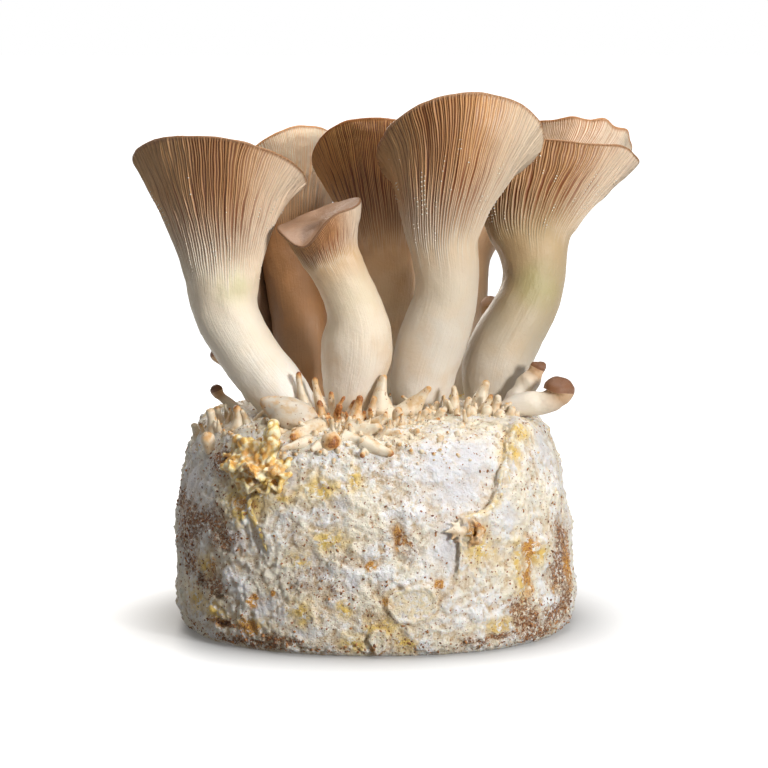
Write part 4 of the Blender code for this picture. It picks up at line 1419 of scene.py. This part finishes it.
# %% Crust finish
def sap_crust():
    made, tree, shader = finish_material("sap_crust", 0.36, 0.15)
    spot = add_node(tree, "TexCoord").outputs["Object"]
    toast, folds = reading(tree, "toast"), reading(tree, "folds")
    patches = mottle(tree, spot, 3.0, 4.0)
    grain = mottle(tree, spot, 0.8, 4.0)
    dried = reckon(tree, "ADD", toast, between(tree, patches, 0.3, 0.7, -0.3, 0.3))
    pale = mixed(tree, between(tree, patches, 0.4, 0.6), colour(240, 228, 190), colour(232, 202, 116))
    golden = mixed(tree, between(tree, dried, 0.4, 0.85), pale, colour(216, 164, 84))
    brown = mixed(tree, between(tree, dried, 0.85, 1.2), golden, colour(146, 88, 40))
    # painted shade: the creases between the crust's folds are painted darker brown
    crease_shaded = mixed(tree, between(tree, folds, 0.0, -0.25, 0.0, 0.4), brown, colour(158, 96, 40))
    feed(tree, shader.inputs["Base Color"], crease_shaded)
    feed(tree, shader.inputs["Normal"], raised(tree, grain, 0.35, 0.6))
    return made


finish_growth(crust, sap_crust(), "mycelium_block", "substrate_block")

# %% [markdown]
# ## The lip of the torn skin
# Along the tear the upper layer has curled back into a thick irregular roll, with a few
# knobs on it. Rolls and knobs are tubes that lie on the skin, fused by Voxel remesh. They
# have the finish of the skin, because they are skin.

# %% The torn lip
# Each roll: its line on the skin, its radii along it, and how far its middle stands off
ROLLS = [(TORN_EDGE[1:9], (0.8, 1.3, 2.3, 1.6, 1.8, 1.5, 1.7, 1.3), 1.9),
         (TORN_EDGE[9:13], (0.9, 0.8, 0.7, 0.5), 1.2),
         (LOOSE_FLAP, (1.8, 1.6, 1.5, 1.2, 0.8), 0.1)]
# Each knob: bearing, height and radius
KNOBS = [(41, 77.6, 2.9), (40.4, 74.4, 2.5), (37, 67, 2.2), (31, 60.4, 2.0)]
KNOB_PROFILE = ((-1.0, 0.5), (-0.4, 1.0), (0.4, 1.0), (0.9, 0.6))
ROLL_SIDES = 8


def rolled_edge(line, radii, lift):
    """A thick irregular roll of skin along a line of bearings and heights."""
    path = smooth_path([(*skin_point(*place, lift), wide) for place, wide in zip(line, radii)],
                       len(radii) * 3)
    return grow_tube("roll", path, ROLL_SIDES, 1)


rolls = [rolled_edge(*roll) for roll in ROLLS]
for bearing, level, wide in KNOBS:
    place = skin_point(bearing, level, 1.6)
    rolls.append(grow_tube("knob", [(*(place + Vector((0, 0, rise * wide))), wide * fat)
                                    for rise, fat in KNOB_PROFILE], ROLL_SIDES, 1))
rolls = join(rolls, "torn_lip")
apply(rolls, "REMESH", mode="VOXEL", voxel_size=0.5 * MM)
apply(rolls, "SMOOTH", factor=0.5, iterations=2)
where = places(rolls)
swell(rolls, lumps(where, 2.6, 4.2) * 0.6 + lumps(where, 1.2, 9.2) * 0.15)
mark(rolls, "cream", np.full(len(where), 0.5))
mark(rolls, "yellow", np.clip(0.35 + 0.6 * lumps(where, 7, 3.1) + 0.5 * (where[:, 0] < 0), 0, 1))
finish_growth(rolls, skin_finish, "mycelium_block", "substrate_block")

# %% [markdown]
# Halfway down the tear a notch is frilled on its right and has spikes of torn skin on its
# left, round a small hole. The frill is three strips at different leans, and the spikes
# are grown like pins.

# %% The notch
NOTCH = [(25.5, 59), (28.2, 58), (30, 54), (28.6, 49.5), (26, 47.6)]
NOTCH_MIDDLE = (24.6, 54)
MM_PER_DEGREE = 1.53            # on the skin at the notch
FRILLS = [(3.3, 20, 5.5), (8.1, 45, 4.4), (5.2, 0, 4.4)]            # seed, lean and width
SPIKES = [(100, 5), (140, 6), (180, 7.5), (215, 6), (250, 5), (75, 4)]      # way and length
lips = []
for seed, turn, width in FRILLS:
    lips.append(strip("frill", [skin_point(*place, 1.4) for place in NOTCH], width, turn, 2.6, 1.3, seed))
for turn, length in SPIKES:
    root = skin_point(*NOTCH_MIDDLE, 0.8)
    off = skin_point(NOTCH_MIDDLE[0] + math.cos(math.radians(turn)) * length / MM_PER_DEGREE,
                     NOTCH_MIDDLE[1] + math.sin(math.radians(turn)) * length, 2.2)
    lips.append(grow_pin("spike", root, off, 2.4, 0.5))
lips = join(lips, "notch_frill")
apply(lips, "REMESH", mode="VOXEL", voxel_size=0.45 * MM)
apply(lips, "SMOOTH", factor=0.5, iterations=2)
where = places(lips)
swell(lips, lumps(where, 2.2, 6.2) * 0.3)
on_right = smooth_step(skin_point(25.6, 54).x, skin_point(27.4, 54).x, where[:, 0])
mark(lips, "along", 0.35 + 0.4 * on_right)
mark(lips, "toast", 0.15 * on_right + 0.2 * lumps(where, 3, 1.7))
finish_growth(lips, pin_finish, "mycelium_block", "substrate_block")

# %% [markdown]
# ## Grains and beads
# Loose grains of sawdust stick in the skin, thickest where it is brown and round the
# foot, and the shoulder is covered in beads, which are pins at their very start. There
# are thousands of grains and hundreds of beads, so one of each, of few faces, is modelled
# and copied. The copies are set on vertices of the finished skin that are drawn at
# random, with more chance where the maps want more of them.

# %% Scattering
GRAINS = 3300
BEADS = 380
DROPS = 560                     # on each of the three large mushrooms in front


def small_ball():
    """A ball of 1 mm radius and 20 faces, to be pressed into a grain or a drop."""
    deselect()
    bpy.ops.mesh.primitive_ico_sphere_add(subdivisions=1, radius=1 * MM)
    return bpy.context.object


def scatter(template, ground, name, chance, count, sizes, sink, lean):
    """Copies of a small mesh, set upright on the ground piece at random, and joined."""
    spots, upright = places(ground), normals(ground)
    drawn = dice.choices(range(len(spots)), weights=chance, k=count)
    copies = []
    for index in drawn:
        size = sizes[0] + (sizes[1] - sizes[0]) * dice.random() ** 2.2
        axis = Vector(upright[index]) + Vector([dice.uniform(-lean, lean) for _ in range(3)])
        spin = Matrix.Rotation(dice.uniform(0, 6.28), 4, "Z")
        copy = template.copy()
        copy.data = template.data.copy()
        copy.matrix_world = (Matrix.Translation(Vector(spots[index] - upright[index] * sink * size) * MM)
                             @ axis.to_track_quat("Z", "Y").to_matrix().to_4x4() @ spin
                             @ Matrix.Scale(size, 4))
        bpy.context.collection.objects.link(copy)
        copies.append(copy)
    bpy.data.objects.remove(template)
    joined = join(copies, name)
    bpy.ops.object.transform_apply(location=True, rotation=True, scale=True)
    return joined


# %% Grains
grain = small_ball()
where = places(grain)
put(grain, where * (1.25, 0.8, 0.55) * (1 + lumps(where, 0.9, 2.2) * 0.35)[:, None])
skin_heights = places(block)[:, 2]
facing = normals(block)[:, 1]
grain_chance = (0.03 + marks(block, "brown") + 0.5 * smooth_step(9, 2, skin_heights)) * (
    1 - 0.8 * marks(block, "smooth")) * (skin_heights > 1.5)
grains = scatter(grain, block, "sawdust_grains", grain_chance, GRAINS, (0.25, 0.95), 0.2, 0.6)

# %% Grain finish
def sawdust():
    made, tree, shader = finish_material("sawdust_grain", 0.6)
    spot = add_node(tree, "TexCoord").outputs["Object"]
    tone = mixed(tree, between(tree, mottle(tree, spot, 1.6, 2.0), 0.35, 0.65),
                 colour(92, 52, 28), colour(184, 130, 80))
    feed(tree, shader.inputs["Base Color"], tone)
    feed(tree, shader.inputs["Normal"], raised(tree, mottle(tree, spot, 0.5), 0.15, 0.5))
    return made


finish_growth(grains, sawdust(), "mycelium_block", "substrate_block")

# %% Beads
BEAD = [(0, 0, -1, 1.25), (0, 0, 0.2, 1.2), (0.2, 0, 1.1, 0.95), (0.3, 0, 1.8, 0.5)]
bead = grow_tube("bead", BEAD, 7, 0)
on_shoulder = smooth_step(78, 90, skin_heights) * smooth_step(0.25, -0.1, facing)
near_pins = hill(places(block)[:, 0], -10, 45)
beads = scatter(bead, block, "beads", on_shoulder * (0.15 + near_pins), BEADS, (0.35, 1.3), 0.3, 0.7)
mark(beads, "toast", np.repeat([dice.uniform(-0.4, 0.0) for _ in range(BEADS)],
                               len(beads.data.vertices) // BEADS))
finish_growth(beads, pin_finish, "mycelium_block", "substrate_block")

# %% [markdown]
# Fine drops of pale sap sit on the edges of the gills, mostly halfway up. They are
# scattered in the same way, on vertices that the marks say are on a ridge.

# %% Drops on the gills
drops = []
for name in LARGE_FRONT:
    piece = trumpets[name]
    drop = small_ball()
    put(drop, places(drop) * (0.9, 0.9, 0.8))
    damp = smooth_step(-0.05, 0.25, lumps(places(piece), 6, 3.3))
    middle = hill(marks(piece, "along"), 0.42, 0.2) * damp
    on_ridge = (marks(piece, "gap") < 0.06) * (marks(piece, "gilled") > 0.5)
    drops.append(scatter(drop, piece, "drops", middle * on_ridge + 1e-9, DROPS, (0.18, 0.48), 0.1, 0.1))
drops = join(drops, "sap_drops")
drop_finish, _, drop_shader = finish_material("pale_sap", 0.25, 0.3)
drop_shader.inputs["Base Color"].default_value = (*colour(250, 240, 220), 1)
finish_growth(drops, drop_finish, "mushroom_flesh", "mushroom_left")
